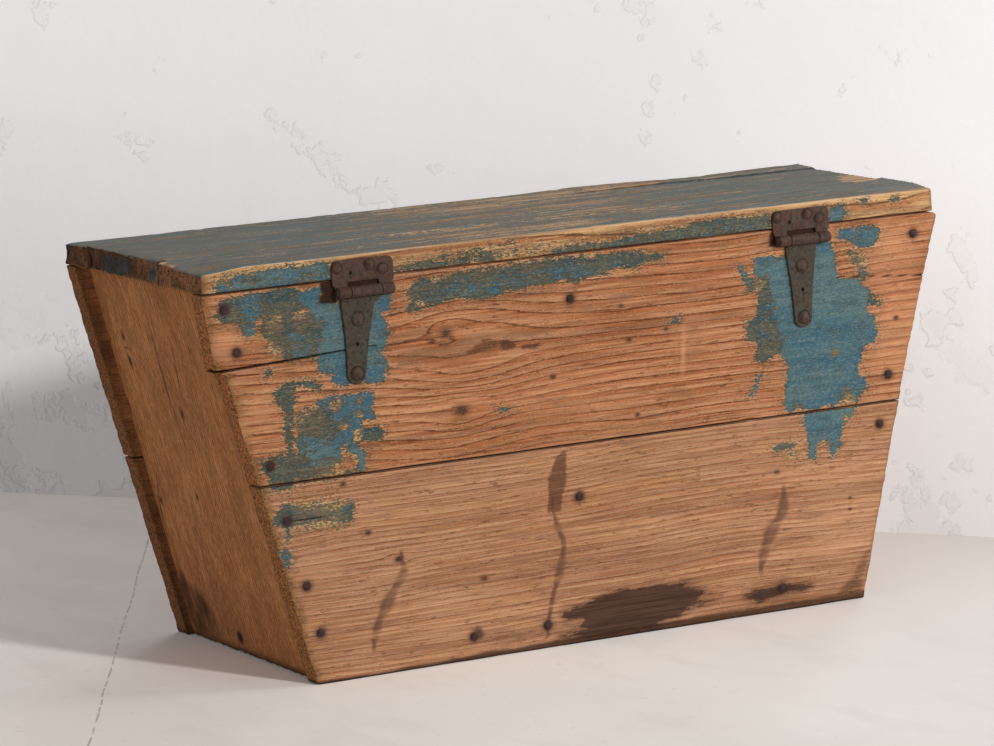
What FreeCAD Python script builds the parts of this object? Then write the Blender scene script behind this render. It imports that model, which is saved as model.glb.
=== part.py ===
"""Sea chest: a slope-ended pine trunk with a three-board lid on two tee hinges.

Millimetres. X runs along the chest, -Y is the hinge side, +Y the opening side, +Z is up.
The origin lies on the floor, under the middle of the whole chest.
"""
import FreeCAD, Part
import math
import os

V = FreeCAD.Vector

# ---- driving dimensions ------------------------------------------------------------------
TOP_LENGTH = 880.0          # side boards along their top edge
BOTTOM_LENGTH = 667.0       # side boards along their bottom edge
BOX_HEIGHT = 416.0          # floor to the lid's underside
DEPTH = 348.0               # over the two sides
SIDE_T = 26.0               # side boards
END_T = 25.0                # end boards, across their thickness
END_RECESS_TOP = 16.0       # end board set in from the side boards' ends, at the top
END_RECESS_BOTTOM = 8.0     # and at the floor
HINGE_SIDE_SEAM = 213.5     # height of the joint between upper and lower side board
OPENING_SIDE_SEAM = 202.0
BOARD_GAP = 0.6             # dried-out joints between boards stand open this much

SPLIT_LENGTH = 200.0        # split running in from the left end of the hinge side's upper board
SPLIT_MOUTH = 2.4
SPLIT_Z = (334.0, 343.0)    # its height at the board's end and at its tip
SPLIT_STEP = 9.5            # the board's end above the split stands out this much further
SHORT_SPLIT = (355.0, 350.0, 430.0, 345.5, 1.2)   # right end: x, z of tip, x, z of mouth, width

LID_T = 25.0
LID_MIDDLE_T = 26.5         # the middle board is a little thicker and stands proud
LID_BOARDS = (("lid_hinge_side_board", 103.0, 439.0, LID_T),
              ("lid_middle_board", 182.0, 435.0, LID_MIDDLE_T),
              ("lid_opening_side_strip", 63.0, 437.0, LID_T))

BATTEN_W = 42.0
BATTEN_T = 20.0
BATTEN_X = 296.0
BATTEN_END_GAP = 6.0        # between a batten's ends and the side boards

BOTTOM_Z = 12.0             # underside of the bottom boards
BOTTOM_T = 25.0
CLEAT_W = 44.0
CLEAT_T = 18.0
CLEAT_X = -16.0
CLEAT_TOP_GAP = 14.0

# nails: big round forged heads
NAIL_HEAD_R = 4.5
NAIL_PROUD = 1.0
NAIL_SUNK = 0.9
NAIL_SHANK_R = 1.8
NAIL_L = 52.0
CLEAT_NAIL_L = 40.0
BATTEN_NAIL_L = 38.0
HOLE_CLEAR = 0.05
NAIL_INSET = 21.0           # corner nails, from the side board's end
NAIL_Z_LEFT = (399.0, 354.0, 234.0, 175.0, 105.0, 54.0)
NAIL_Z_RIGHT = (394.0, 243.0, 190.0)
NAIL_Z_OPENING = (394.0, 300.0, 238.0, 165.0, 60.0)
CLEAT_NAIL_Z = (368.0, 157.0)
BOTTOM_NAIL_Z = 25.0
BOTTOM_NAIL_X = (-149.0, -61.0, 229.0)
END_NAIL_Y = 25.0           # end-board nail into the bottom
END_NAIL_Z = 19.0

# tee hinges
HINGES = (("left_hinge", -258.0, -5.0, 3.0),     # centre of the barrel, the strap's offset
          ("right_hinge", 269.0, -3.0, 0.0))     # from it, and the strap's lean in degrees
PIN_DROP = 13.0             # hinge pin below the lid's underside
BARREL_R = 6.0
PIN_R = 3.2
PIN_CLEAR = 0.05            # running clearance in the strap's knuckle
PIN_SEAT = 0.02             # pin in the lid leaf's knuckles
PIN_HEAD_R = 4.6
PIN_HEAD_T = 1.6
BARREL_GAP = 0.3            # barrel stands off the box face
LEAF_T = 2.6
LEAF_HALF_W = 35.5
LEAF_TOP = 33.0             # above the pin
LEAF_CORNER_R = 7.0
BARREL_HALF_W = 32.0
STRAP_KNUCKLE_HALF_W = 17.5
KNUCKLE_SIDE_GAP = 0.4
SLOT_TOP = 9.6              # slot in the leaf over the strap's knuckle, above the pin
STRAP_SHAPE = ((19.4, -7.5), (19.0, -14.0), (16.6, -30.0), (14.0, -48.0), (12.2, -66.0),
               (11.0, -82.0))   # half width, height from the pin
STRAP_TIP_R = 11.0
STRAP_TIP_Z = -85.5         # centre of the rounded tip
LID_SCREWS = ((-29.5, 25.5), (7.5, 26.0), (22.5, 20.5))     # from the pin's centre, x and z
LID_SPARE_HOLE = (-14.5, 19.0)
STRAP_BOLTS = (-29.0, -85.0)
STRAP_SPARE_HOLE = -55.0
SPARE_HOLE_R = 1.9
LID_SCREW = (5.2, 2.4, 2.2, 24.0)      # head radius, head height, shank radius, length
STRAP_BOLT = (6.8, 3.0, 2.8, 23.0)

# ---- derived -------------------------------------------------------------------------------
HINGE_PROUD = 2 * BARREL_R + BARREL_GAP
HINGE_FACE = -(DEPTH + HINGE_PROUD + NAIL_PROUD) / 2 + HINGE_PROUD
OPENING_FACE = HINGE_FACE + DEPTH
HINGE_INNER = HINGE_FACE + SIDE_T
OPENING_INNER = OPENING_FACE - SIDE_T
PIN_Y = HINGE_FACE - BARREL_R - BARREL_GAP
PIN_Z = BOX_HEIGHT - PIN_DROP
SIDE_SLOPE = (TOP_LENGTH - BOTTOM_LENGTH) / 2 / BOX_HEIGHT
END_BOTTOM_X = BOTTOM_LENGTH / 2 - END_RECESS_BOTTOM
END_SLOPE = (TOP_LENGTH / 2 - END_RECESS_TOP - END_BOTTOM_X) / BOX_HEIGHT
END_T_LEVEL = END_T * math.hypot(1.0, END_SLOPE)   # end board's thickness measured level


def side_x(z):
    """Half length of a side board at height z."""
    return BOTTOM_LENGTH / 2 + SIDE_SLOPE * z


def end_x(z):
    """Distance of an end board's outer face from the middle at height z."""
    return END_BOTTOM_X + END_SLOPE * z


def prism_y(points, y0, y1):
    """Solid from an outline of (x, z) points, between two y values."""
    wire = Part.makePolygon([V(x, y0, z) for x, z in points + points[:1]])
    return Part.Face(wire).extrude(V(0, y1 - y0, 0))


def box(x0, x1, y0, y1, z0, z1):
    return Part.makeBox(x1 - x0, y1 - y0, z1 - z0, V(x0, y0, z0))


def turned(profile, base, direction):
    """Revolve (radius, height) points about a line from base along direction."""
    pts = [V(r, 0, h) for r, h in profile]
    solid = Part.Face(Part.makePolygon(pts + pts[:1])).revolve(V(0, 0, 0), V(0, 0, 1), 360)
    solid = Part.Solid(solid) if solid.ShapeType == "Shell" else solid
    solid.Placement = FreeCAD.Placement(base, FreeCAD.Rotation(V(0, 0, 1), direction))
    return solid


def nail(base, out, length):
    """A nail whose head's underside is let into the wood at base; out points out of the wood.

    Gives the nail and the slightly larger body of its hole.
    """
    r, p, s, k, c = NAIL_HEAD_R, NAIL_PROUD, NAIL_SUNK, NAIL_SHANK_R, HOLE_CLEAR
    body = [(0, p), (r * 0.45, p * 0.9), (r * 0.8, p * 0.55), (r, 0.05), (r, -s), (k, -s),
            (k, -length + 7), (0.3, -length), (0, -length)]
    hole = [(0, 3.0), (r + c, 3.0), (r + c, -s - c), (k + c, -s - c),
            (k + c, -length + 7), (0.3 + c, -length - c), (0, -length - c)]
    return turned(body, base, out), turned(hole, base, out)


def screw(base, out, spec, seat):
    """A domed screw through a plate of thickness seat; base lies on the wood's face."""
    r, h, k, length = spec
    c = HOLE_CLEAR
    body = [(0, seat + h), (r * 0.5, seat + h * 0.88), (r * 0.85, seat + h * 0.5), (r, seat + 0.4),
            (r, seat), (k, seat), (k, -length + 5), (0.4, -length), (0, -length)]
    hole = [(0, seat + h), (k + c, seat + h), (k + c, -length + 5), (0.4 + c, -length - c),
            (0, -length - c)]
    return turned(body, base, out), turned(hole, base, out)


def drilled(shape, tools):
    return shape.cut(Part.makeCompound(tools))


def one_solid(shape):
    """The single solid inside a boolean result."""
    if len(shape.Solids) != 1:
        raise RuntimeError("expected one solid, got %d" % len(shape.Solids))
    return shape.Solids[0]


# ---- nails -----------------------------------------------------------------------------------
OUT_HINGE, OUT_OPENING = V(0, -1, 0), V(0, 1, 0)


hinge_side_nails = [nail(V(-(side_x(z) - NAIL_INSET), HINGE_FACE, z), OUT_HINGE, NAIL_L)
                    for z in NAIL_Z_LEFT]
hinge_side_nails += [nail(V(side_x(z) - NAIL_INSET, HINGE_FACE, z), OUT_HINGE, NAIL_L)
                     for z in NAIL_Z_RIGHT]
hinge_side_nails += [nail(V(CLEAT_X, HINGE_FACE, z), OUT_HINGE, CLEAT_NAIL_L)
                     for z in CLEAT_NAIL_Z]
hinge_side_nails += [nail(V(x, HINGE_FACE, BOTTOM_NAIL_Z), OUT_HINGE, NAIL_L)
                     for x in BOTTOM_NAIL_X]

opening_side_nails = [nail(V(s * (side_x(z) - NAIL_INSET), OPENING_FACE, z), OUT_OPENING, NAIL_L)
                      for s in (-1, 1) for z in NAIL_Z_OPENING]
opening_side_nails += [nail(V(CLEAT_X, OPENING_FACE, z), OUT_OPENING, CLEAT_NAIL_L)
                       for z in CLEAT_NAIL_Z]
opening_side_nails += [nail(V(x, OPENING_FACE, BOTTOM_NAIL_Z), OUT_OPENING, NAIL_L)
                       for x in BOTTOM_NAIL_X]

end_nails = {}
for side, sign in (("left", -1), ("right", 1)):
    end_nails[side] = [nail(V(sign * end_x(END_NAIL_Z), END_NAIL_Y, END_NAIL_Z),
                            V(sign, 0, -END_SLOPE), NAIL_L)]

# ---- hinges ------------------------------------------------------------------------------------
def x_cylinder(radius, x0, x1):
    return Part.makeCylinder(radius, x1 - x0, V(x0, PIN_Y, PIN_Z), V(1, 0, 0))


def hinge_leaf(cx, screw_holes):
    """Lid leaf: a plate with rounded top corners, cut away over the strap's knuckle."""
    front, back, w, top = HINGE_FACE - LEAF_T, HINGE_FACE, LEAF_HALF_W, PIN_Z + LEAF_TOP
    plate = box(cx - w, cx + w, front, back, PIN_Z, top)
    corners = [e for e in plate.Edges if abs(e.CenterOfMass.z - top) < 0.01
               and abs(abs(e.CenterOfMass.x - cx) - w) < 0.01]
    plate = plate.makeFillet(LEAF_CORNER_R, corners)
    gap = STRAP_KNUCKLE_HALF_W + KNUCKLE_SIDE_GAP
    tools = [box(cx - gap, cx + gap, front - 1, back + 1, PIN_Z - 2, PIN_Z + SLOT_TOP)]
    for s in (-1, 1):
        low = [(cx + s * x, PIN_Z + z) for x, z in
               ((w + 1, -1), (BARREL_HALF_W, -1), (BARREL_HALF_W, 4), (w, 9), (w + 1, 9))]
        tools.append(prism_y(low, front - 1, back + 1))
    leaf = drilled(plate, tools)
    for x0, x1 in ((-BARREL_HALF_W, -gap), (gap, BARREL_HALF_W)):
        leaf = leaf.fuse(x_cylinder(BARREL_R, cx + x0, cx + x1))
    spare = V(cx + LID_SPARE_HOLE[0], back + 1, PIN_Z + LID_SPARE_HOLE[1])
    return one_solid(drilled(leaf, screw_holes + [
        x_cylinder(PIN_R + PIN_SEAT, cx - 50, cx + 50),
        Part.makeCylinder(SPARE_HOLE_R, LEAF_T + 2, spare, OUT_HINGE)]))


def hinge_strap(cx, offset, lean, bolt_holes, spare):
    """Strap: a wrapped knuckle and a tapering strap with a rounded tip, leaning a little."""
    outline = [(-x, z) for x, z in STRAP_SHAPE]
    for i in range(1, 12):
        a = math.pi + math.pi * i / 12
        outline.append((STRAP_TIP_R * math.cos(a), STRAP_TIP_Z + STRAP_TIP_R * math.sin(a)))
    outline += [(x, z) for x, z in reversed(STRAP_SHAPE)]
    front, w = HINGE_FACE - LEAF_T, STRAP_KNUCKLE_HALF_W
    strap = prism_y([(cx + offset + x, PIN_Z + z) for x, z in outline], front, HINGE_FACE)
    strap.rotate(V(cx + offset, 0, PIN_Z), V(0, 1, 0), lean)
    strap = strap.fuse(box(cx - w, cx + w, front, HINGE_FACE, PIN_Z - 12, PIN_Z))
    strap = strap.fuse(x_cylinder(BARREL_R, cx - w, cx + w))
    return one_solid(drilled(strap, bolt_holes + [
        x_cylinder(PIN_R + PIN_CLEAR, cx - 50, cx + 50),
        Part.makeCylinder(SPARE_HOLE_R, LEAF_T + 2, spare + V(0, 1, 0), OUT_HINGE)]))


def hinge_pin(cx):
    half = BARREL_HALF_W + 0.1
    head = [(0, PIN_HEAD_T), (PIN_HEAD_R * 0.7, PIN_HEAD_T * 0.8), (PIN_HEAD_R, 0.3),
            (PIN_HEAD_R, 0), (0, 0)]
    pin = x_cylinder(PIN_R, cx - half, cx + half)
    for s in (-1, 1):
        pin = pin.fuse(turned(head, V(cx + s * half, PIN_Y, PIN_Z), V(s, 0, 0)))
    return one_solid(pin)


hinges = {}
for name, cx, offset, lean in HINGES:
    lid_screws = [screw(V(cx + x, HINGE_FACE, PIN_Z + z), OUT_HINGE, LID_SCREW, LEAF_T)
                  for x, z in LID_SCREWS]
    a = math.radians(lean)
    along = [V(cx + offset + z * math.sin(a), HINGE_FACE, PIN_Z + z * math.cos(a))
             for z in STRAP_BOLTS + (STRAP_SPARE_HOLE,)]
    strap_bolts = [screw(p, OUT_HINGE, STRAP_BOLT, LEAF_T) for p in along[:-1]]
    hinges[name] = {"lid_screws": lid_screws, "strap_bolts": strap_bolts, "pin": hinge_pin(cx),
                    "leaf": hinge_leaf(cx, [hole for _, hole in lid_screws]),
                    "strap": hinge_strap(cx, offset, lean, [hole for _, hole in strap_bolts],
                                         along[-1])}

# ---- boards of the box ---------------------------------------------------------------------------
parts = {}


def side_board(z0, z1, y0, y1, tools, left_end=()):
    """A board whose ends follow the slope; left_end holds further points down its left end."""
    pts = [(-side_x(z0), z0), (side_x(z0), z0), (side_x(z1), z1), (-side_x(z1), z1)]
    return one_solid(drilled(prism_y(pts + list(left_end), y0, y1), tools))


strap_holes = [hole for h in hinges.values() for _, hole in h["strap_bolts"]]
hinge_holes = [hole for _, hole in hinge_side_nails]
opening_holes = [hole for _, hole in opening_side_nails]

tip_x = -side_x(SPLIT_Z[0]) + SPLIT_LENGTH
split = prism_y([(-TOP_LENGTH / 2 - 5, SPLIT_Z[0] - SPLIT_MOUTH / 2),
                 (-side_x(SPLIT_Z[0]) + 90, SPLIT_Z[0] + 2.0),
                 (tip_x, SPLIT_Z[1]),
                 (-side_x(SPLIT_Z[0]) + 90, SPLIT_Z[0] + 2.0 + SPLIT_MOUTH * 0.75),
                 (-TOP_LENGTH / 2 - 5, SPLIT_Z[0] + SPLIT_MOUTH / 2)],
                HINGE_FACE - 1, HINGE_INNER + 1)
sx0, sz0, sx1, sz1, sw = SHORT_SPLIT
short_split = prism_y([(sx0, sz0), (sx1 + 10, sz1 - sw / 2), (sx1 + 10, sz1 + sw / 2)],
                      HINGE_FACE - 1, HINGE_FACE + SIDE_T * 0.6)

parts["hinge_side_upper_board"] = side_board(
    HINGE_SIDE_SEAM + BOARD_GAP / 2, BOX_HEIGHT, HINGE_FACE, HINGE_INNER,
    hinge_holes + strap_holes + [split, short_split],
    [(-side_x(SPLIT_Z[0]) - SPLIT_STEP, SPLIT_Z[0]), (-side_x(SPLIT_Z[0]), SPLIT_Z[0])])
parts["hinge_side_lower_board"] = side_board(
    0, HINGE_SIDE_SEAM - BOARD_GAP / 2, HINGE_FACE, HINGE_INNER, hinge_holes)
parts["opening_side_upper_board"] = side_board(
    OPENING_SIDE_SEAM + BOARD_GAP / 2, BOX_HEIGHT, OPENING_INNER, OPENING_FACE, opening_holes)
parts["opening_side_lower_board"] = side_board(
    0, OPENING_SIDE_SEAM - BOARD_GAP / 2, OPENING_INNER, OPENING_FACE, opening_holes)

for side, sign in (("left", -1), ("right", 1)):
    pts = [(sign * end_x(0), 0), (sign * end_x(BOX_HEIGHT), BOX_HEIGHT),
           (sign * (end_x(BOX_HEIGHT) - END_T_LEVEL), BOX_HEIGHT),
           (sign * (end_x(0) - END_T_LEVEL), 0)]
    tools = hinge_holes + opening_holes + [hole for _, hole in end_nails[side]]
    parts[side + "_end_board"] = one_solid(
        drilled(prism_y(pts, HINGE_INNER, OPENING_INNER), tools))

bottom_top = BOTTOM_Z + BOTTOM_T
bottom_mid = (HINGE_INNER + OPENING_INNER) / 2
in0, in1 = end_x(BOTTOM_Z) - END_T_LEVEL, end_x(bottom_top) - END_T_LEVEL
bottom_outline = [(-in0, BOTTOM_Z), (in0, BOTTOM_Z), (in1, bottom_top), (-in1, bottom_top)]
bottom_tools = (hinge_holes + opening_holes
                + [hole for side in end_nails.values() for _, hole in side])
parts["bottom_board_hinge_side"] = one_solid(drilled(
    prism_y(bottom_outline, HINGE_INNER, bottom_mid - BOARD_GAP), bottom_tools))
parts["bottom_board_opening_side"] = one_solid(drilled(
    prism_y(bottom_outline, bottom_mid + BOARD_GAP, OPENING_INNER), bottom_tools))

for node, y0, y1, holes in (
        ("hinge_side_cleat", HINGE_INNER, HINGE_INNER + CLEAT_T, hinge_holes),
        ("opening_side_cleat", OPENING_INNER - CLEAT_T, OPENING_INNER, opening_holes)):
    parts[node] = one_solid(drilled(
        box(CLEAT_X - CLEAT_W / 2, CLEAT_X + CLEAT_W / 2, y0, y1,
            bottom_top, BOX_HEIGHT - CLEAT_TOP_GAP), holes))

# ---- lid ---------------------------------------------------------------------------------------
lid_holes = [hole for h in hinges.values() for _, hole in h["lid_screws"]]
batten_y = (HINGE_INNER + BATTEN_END_GAP, OPENING_INNER - BATTEN_END_GAP)
batten_nails = []
edges = [HINGE_FACE]
for _, width, _, _ in LID_BOARDS:
    edges.append(edges[-1] + width)
for cx in (-BATTEN_X, BATTEN_X):
    for j, dx in ((0, -10), (0, 10), (1, -10), (1, 10), (2, 0)):
        lo, hi = max(edges[j], batten_y[0]), min(edges[j + 1], batten_y[1])
        y = (lo + hi) / 2 + (dx * 2.2 if j < 2 else 0)
        batten_nails.append(nail(V(cx + dx, y, BOX_HEIGHT - BATTEN_T), V(0, 0, -1), BATTEN_NAIL_L))
batten_holes = [hole for _, hole in batten_nails]

for i, (node, width, half, thick) in enumerate(LID_BOARDS):
    gap0 = BOARD_GAP / 2 if i > 0 else 0.0
    gap1 = BOARD_GAP / 2 if i < len(LID_BOARDS) - 1 else 0.0
    board = box(-half, half, edges[i] + gap0, edges[i + 1] - gap1, BOX_HEIGHT, BOX_HEIGHT + thick)
    parts[node] = one_solid(drilled(board, lid_holes + batten_holes))
for side, cx in (("left", -BATTEN_X), ("right", BATTEN_X)):
    parts["lid_%s_batten" % side] = one_solid(drilled(
        box(cx - BATTEN_W / 2, cx + BATTEN_W / 2, batten_y[0], batten_y[1],
            BOX_HEIGHT - BATTEN_T, BOX_HEIGHT), batten_holes))

# ---- fasteners and hinges ------------------------------------------------------------------------
groups = {"hinge_side_nails": hinge_side_nails, "opening_side_nails": opening_side_nails,
          "left_end_nails": end_nails["left"], "right_end_nails": end_nails["right"],
          "lid_batten_nails": batten_nails}
for name, h in hinges.items():
    parts[name + "_lid_leaf"] = h["leaf"]
    parts[name + "_strap"] = h["strap"]
    parts[name + "_pin"] = h["pin"]
    groups[name + "_lid_screws"] = h["lid_screws"]
    groups[name + "_strap_bolts"] = h["strap_bolts"]
for node, pairs in groups.items():
    parts[node] = Part.makeCompound([one_solid(body) for body, _ in pairs])

os.makedirs("parts", exist_ok=True)
for node, shape in sorted(parts.items()):
    if not shape.isValid():
        raise RuntimeError("invalid shape: " + node)
    shape.exportStep("parts/%s.step" % node)
    b = shape.BoundBox
    print("%-28s solids %2d  x %7.1f..%6.1f  y %7.1f..%6.1f  z %6.1f..%6.1f"
          % (node, len(shape.Solids), b.XMin, b.XMax, b.YMin, b.YMax, b.ZMin, b.ZMax))
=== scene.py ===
# %% [markdown]
# # A pine sea chest with sloping ends
#
# The chest is a seaman's trunk nailed together from wide pine boards. Its long sides are
# trapezia, its lid is three boards on two battens, and two iron tee hinges hang the lid on the
# long side that faces the camera. A blue milk paint once covered that side and the lid, and has
# mostly gone. This lesson builds the worn surfaces around a fixed model: first the helpers, then
# the boards, then the iron.

import itertools
import math

import bpy
import numpy as np
from mathutils import Matrix, Vector


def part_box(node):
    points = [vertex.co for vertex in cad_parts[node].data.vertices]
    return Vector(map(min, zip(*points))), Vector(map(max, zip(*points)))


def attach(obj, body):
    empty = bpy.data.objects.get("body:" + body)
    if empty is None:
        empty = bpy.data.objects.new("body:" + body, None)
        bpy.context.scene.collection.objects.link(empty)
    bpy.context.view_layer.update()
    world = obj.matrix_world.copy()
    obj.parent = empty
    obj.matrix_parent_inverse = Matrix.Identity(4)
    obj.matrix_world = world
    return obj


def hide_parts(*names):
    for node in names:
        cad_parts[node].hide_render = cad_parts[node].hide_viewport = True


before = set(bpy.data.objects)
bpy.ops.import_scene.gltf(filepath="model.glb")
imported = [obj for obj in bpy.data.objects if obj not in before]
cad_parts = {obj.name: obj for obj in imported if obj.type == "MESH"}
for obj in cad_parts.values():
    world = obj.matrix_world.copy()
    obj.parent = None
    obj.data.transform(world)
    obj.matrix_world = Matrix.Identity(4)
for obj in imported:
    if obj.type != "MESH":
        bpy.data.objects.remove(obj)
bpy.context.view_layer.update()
MM = 0.001

# %% [markdown]
# ## Where the camera stands
#
# The camera looks down a little on the chest from its left. A long lens far away keeps the
# board edges nearly parallel. The same numbers also tell where a sight line through an image
# point meets a plane, so a mark that is known by its place in the image can be laid on the board
# that carries it, and then stays on that board from every side.

# %% Camera
IMAGE_W, IMAGE_H = 994, 746
EYE = np.array([-2.3724, -4.4546, 1.0401])
YAW, PITCH, ROLL = (math.radians(a) for a in (27.855, 8.684, -2.762))
FOCAL_PX = 4709.0
SENSOR = 36.0

AHEAD = np.array([math.sin(YAW) * math.cos(PITCH), math.cos(YAW) * math.cos(PITCH), -math.sin(PITCH)])
level = np.array([math.cos(YAW), -math.sin(YAW), 0.0])
upright = np.cross(level, AHEAD)
RIGHT = math.cos(ROLL) * level + math.sin(ROLL) * upright
UP = math.cos(ROLL) * upright - math.sin(ROLL) * level

camera = bpy.data.objects.new("camera", bpy.data.cameras.new("camera"))
camera.data.sensor_width = SENSOR
camera.data.lens = FOCAL_PX / IMAGE_W * SENSOR
camera.data.clip_end = 100.0
camera.matrix_world = Matrix([(*row, e) for row, e in zip(np.array([RIGHT, UP, -AHEAD]).T, EYE)]
                             + [(0, 0, 0, 1)])
bpy.context.scene.collection.objects.link(camera)
bpy.context.scene.camera = camera
print("camera: lens %.1f mm" % camera.data.lens)


# %% From image points to points on a plane
def on_plane(pixels, point, normal):
    """Where the sight lines through image points meet the plane through point."""
    px = np.asarray(pixels, float)
    rays = (AHEAD + np.outer((px[:, 0] - IMAGE_W / 2) / FOCAL_PX, RIGHT)
            - np.outer((px[:, 1] - IMAGE_H / 2) / FOCAL_PX, UP))
    reach = ((np.asarray(point) - EYE) @ normal) / (rays @ np.asarray(normal, float))
    return EYE + rays * reach[:, None]


FLOOR_LINE = on_plane([(0, 492), (994, 537)], (0, 0, 0), (0, 0, 1))
print("wall foot:", FLOOR_LINE.round(3).tolist())

# %% [markdown]
# ## Colours and nodes
#
# Colours are written as they would be mixed on a screen, 0 to 255, and turned into the linear
# light values that the shader wants. Shader maths is easier to read as Python, so a `Value`
# wraps a socket: writing `1 - mask` or `rings * 3 + noise` adds the Math nodes. A `Finish` is a
# material with one method that adds any other node, and lays colours over each other.

# %% Screen colours
def srgb(colour):
    """A screen colour as linear RGBA."""
    parts = (c / 255 for c in colour)
    return (*(p / 12.92 if p <= 0.04045 else ((p + 0.055) / 1.055) ** 2.4 for p in parts), 1.0)


def shade(colour, by):
    """A screen colour made lighter or darker."""
    return tuple(min(c * by, 255) for c in colour)


# %% Sockets with arithmetic
class Value:
    """An output socket that takes part in sums; each sum adds a Math node."""

    def __init__(self, finish, socket):
        self.finish, self.socket = finish, socket

    def math(self, operation, *terms):
        return self.finish.node("ShaderNodeMath", {"operation": operation}, dict(enumerate(terms)))

    def parts(self):
        """The three numbers of a vector."""
        return [self.finish.node("ShaderNodeSeparateXYZ", {}, {0: self}, out=i) for i in range(3)]

    def ramp(self, low, high):
        """0 below low, 1 above high, eased between; low above high turns it round."""
        return self.finish.node("ShaderNodeMapRange", {"interpolation_type": "SMOOTHSTEP"},
                                {"Value": self, "From Min": low, "From Max": high})


def operator(operation, turned=False):
    """A method that adds one kind of Math node; turned puts the socket itself last."""
    if turned:
        return lambda value, other: value.math(operation, other, value)
    return lambda value, *others: value.math(operation, value, *others)


for word, operation in (("add", "ADD"), ("sub", "SUBTRACT"), ("mul", "MULTIPLY"),
                        ("truediv", "DIVIDE")):
    setattr(Value, "__%s__" % word, operator(operation))
    setattr(Value, "__r%s__" % word, operator(operation, turned=True))
for word, operation in (("size", "ABSOLUTE"), ("fraction", "FRACT"), ("most", "MAXIMUM")):
    setattr(Value, word, operator(operation))


# %% A material and its nodes
class Finish:
    """A material, its shader, and the one way in which nodes are added to it."""

    def __init__(self, name):
        self.material = bpy.data.materials.new(name)
        self.material.use_nodes = True
        self.tree = self.material.node_tree
        self.shader = self.tree.nodes["Principled BSDF"]

    def node(self, kind, settings=None, sockets=None, out=0):
        """Adds a node: its settings first, then a value or a link for each named socket."""
        made = self.tree.nodes.new(kind)
        for key, value in (settings or {}).items():
            setattr(made, key, value)
        for key, value in (sockets or {}).items():
            self.feed(made.inputs[key], value)
        return Value(self, made.outputs[out])

    def feed(self, socket, value):
        if isinstance(value, Value):
            self.tree.links.new(value.socket, socket)
        else:
            socket.default_value = value

    def attribute(self, name, kind="Fac"):
        return self.node("ShaderNodeAttribute", {"attribute_name": name}, out=kind)

    def noise(self, vector, scale, detail=3.0, rough=0.55):
        """Noise with features about 1 / scale long, one scale for all axes or one for each."""
        scale = scale if isinstance(scale, tuple) else (scale, scale, scale)
        stretched = self.node("ShaderNodeVectorMath", {"operation": "MULTIPLY"}, {0: vector, 1: scale})
        return self.node("ShaderNodeTexNoise", {}, {
            "Vector": stretched, "Scale": 1.0, "Detail": detail, "Roughness": rough})

    def blend(self, amount, under, over):
        """Colour over laid on colour under, by amount; each is a screen colour or a socket."""
        under, over = (srgb(c) if isinstance(c, tuple) else c for c in (under, over))
        return self.node("ShaderNodeMix", {"data_type": "RGBA"}, {0: amount, 6: under, 7: over}, out=2)

    def layers(self, tone, *rows):
        """Colours laid on tone one after the other: amount, colour and, where given, its shade."""
        for amount, over, *by in rows:
            tone = self.blend(amount, tone, shade(over, *by) if by else over)
        return tone

    def bump(self, height, distance, strength):
        return self.node("ShaderNodeBump", {}, {
            "Height": height, "Distance": distance, "Strength": strength})

    def wear(self, colour, roughness, normal, gloss):
        """Joins the finished colour, roughness and normal to the shader."""
        for key, value in (("Base Color", colour), ("Roughness", roughness), ("Normal", normal)):
            self.feed(self.shader.inputs[key], value)
        self.shader.inputs["Specular IOR Level"].default_value = gloss
        return self.material


print("helpers ready")

# %% [markdown]
# ## Floor, wall and light
#
# A painted floor and a plastered wall stand for the studio. A key lamp at the right, low and far
# off, gives the long shadow to the left, a nearer and weaker lamp lights the right end a little
# more, and an even white world fills the shade. Floor and wall lean towards the key lamp where
# they are seen, so they look white though no more light falls on the chest. The wall is a panel
# that is only seen from its front, so that the chest can be looked at from behind.

# %% Light
CHEST_MIDDLE = np.array([0.0, 0.0, 0.22])
KEY_DIRECTION = np.array([0.30, -1.0, 0.33])
KEY_DISTANCE, KEY_SIZE, KEY_POWER = 20.0, 1.41, 1750.0
SIDE_LAMP_PLACE = np.array([1.2, -0.8, 0.7])
SIDE_LAMP_SIZE, SIDE_LAMP_POWER = 0.6, 5.2
FILL = 0.385


def lamp(name, place, size, power, colour):
    """A round lamp that points at the chest's middle, and isn't seen itself."""
    made = bpy.data.objects.new(name, bpy.data.lights.new(name, "AREA"))
    made.data.shape, made.data.size = "DISK", size
    made.data.energy, made.data.color = power, colour
    made.location = place
    made.rotation_euler = Vector(CHEST_MIDDLE - place).to_track_quat("-Z", "Y").to_euler()
    made.visible_camera = False
    bpy.context.scene.collection.objects.link(made)
    print(name, "at", np.round(place, 2).tolist())


to_key = KEY_DIRECTION / np.linalg.norm(KEY_DIRECTION)
lamp("key_lamp", CHEST_MIDDLE + to_key * KEY_DISTANCE, KEY_SIZE, KEY_POWER, (1.0, 0.985, 0.965))
lamp("side_lamp", SIDE_LAMP_PLACE, SIDE_LAMP_SIZE, SIDE_LAMP_POWER, (1.0, 0.98, 0.95))

world = bpy.data.worlds.new("studio")
bpy.context.scene.world = world
world.use_nodes = True
world.node_tree.nodes["Background"].inputs["Color"].default_value = (1.0, 0.995, 0.99, 1.0)
world.node_tree.nodes["Background"].inputs["Strength"].default_value = FILL
bpy.context.scene.view_settings.view_transform = "Standard"

# %% Stage helpers
def panel(name, corners, finish):
    """A flat sheet of the stage."""
    mesh = bpy.data.meshes.new(name)
    mesh.from_pydata([tuple(c) for c in corners], [], [(0, 1, 2, 3)])
    mesh.materials.append(finish)
    sheet = bpy.data.objects.new(name, mesh)
    bpy.context.scene.collection.objects.link(sheet)


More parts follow.
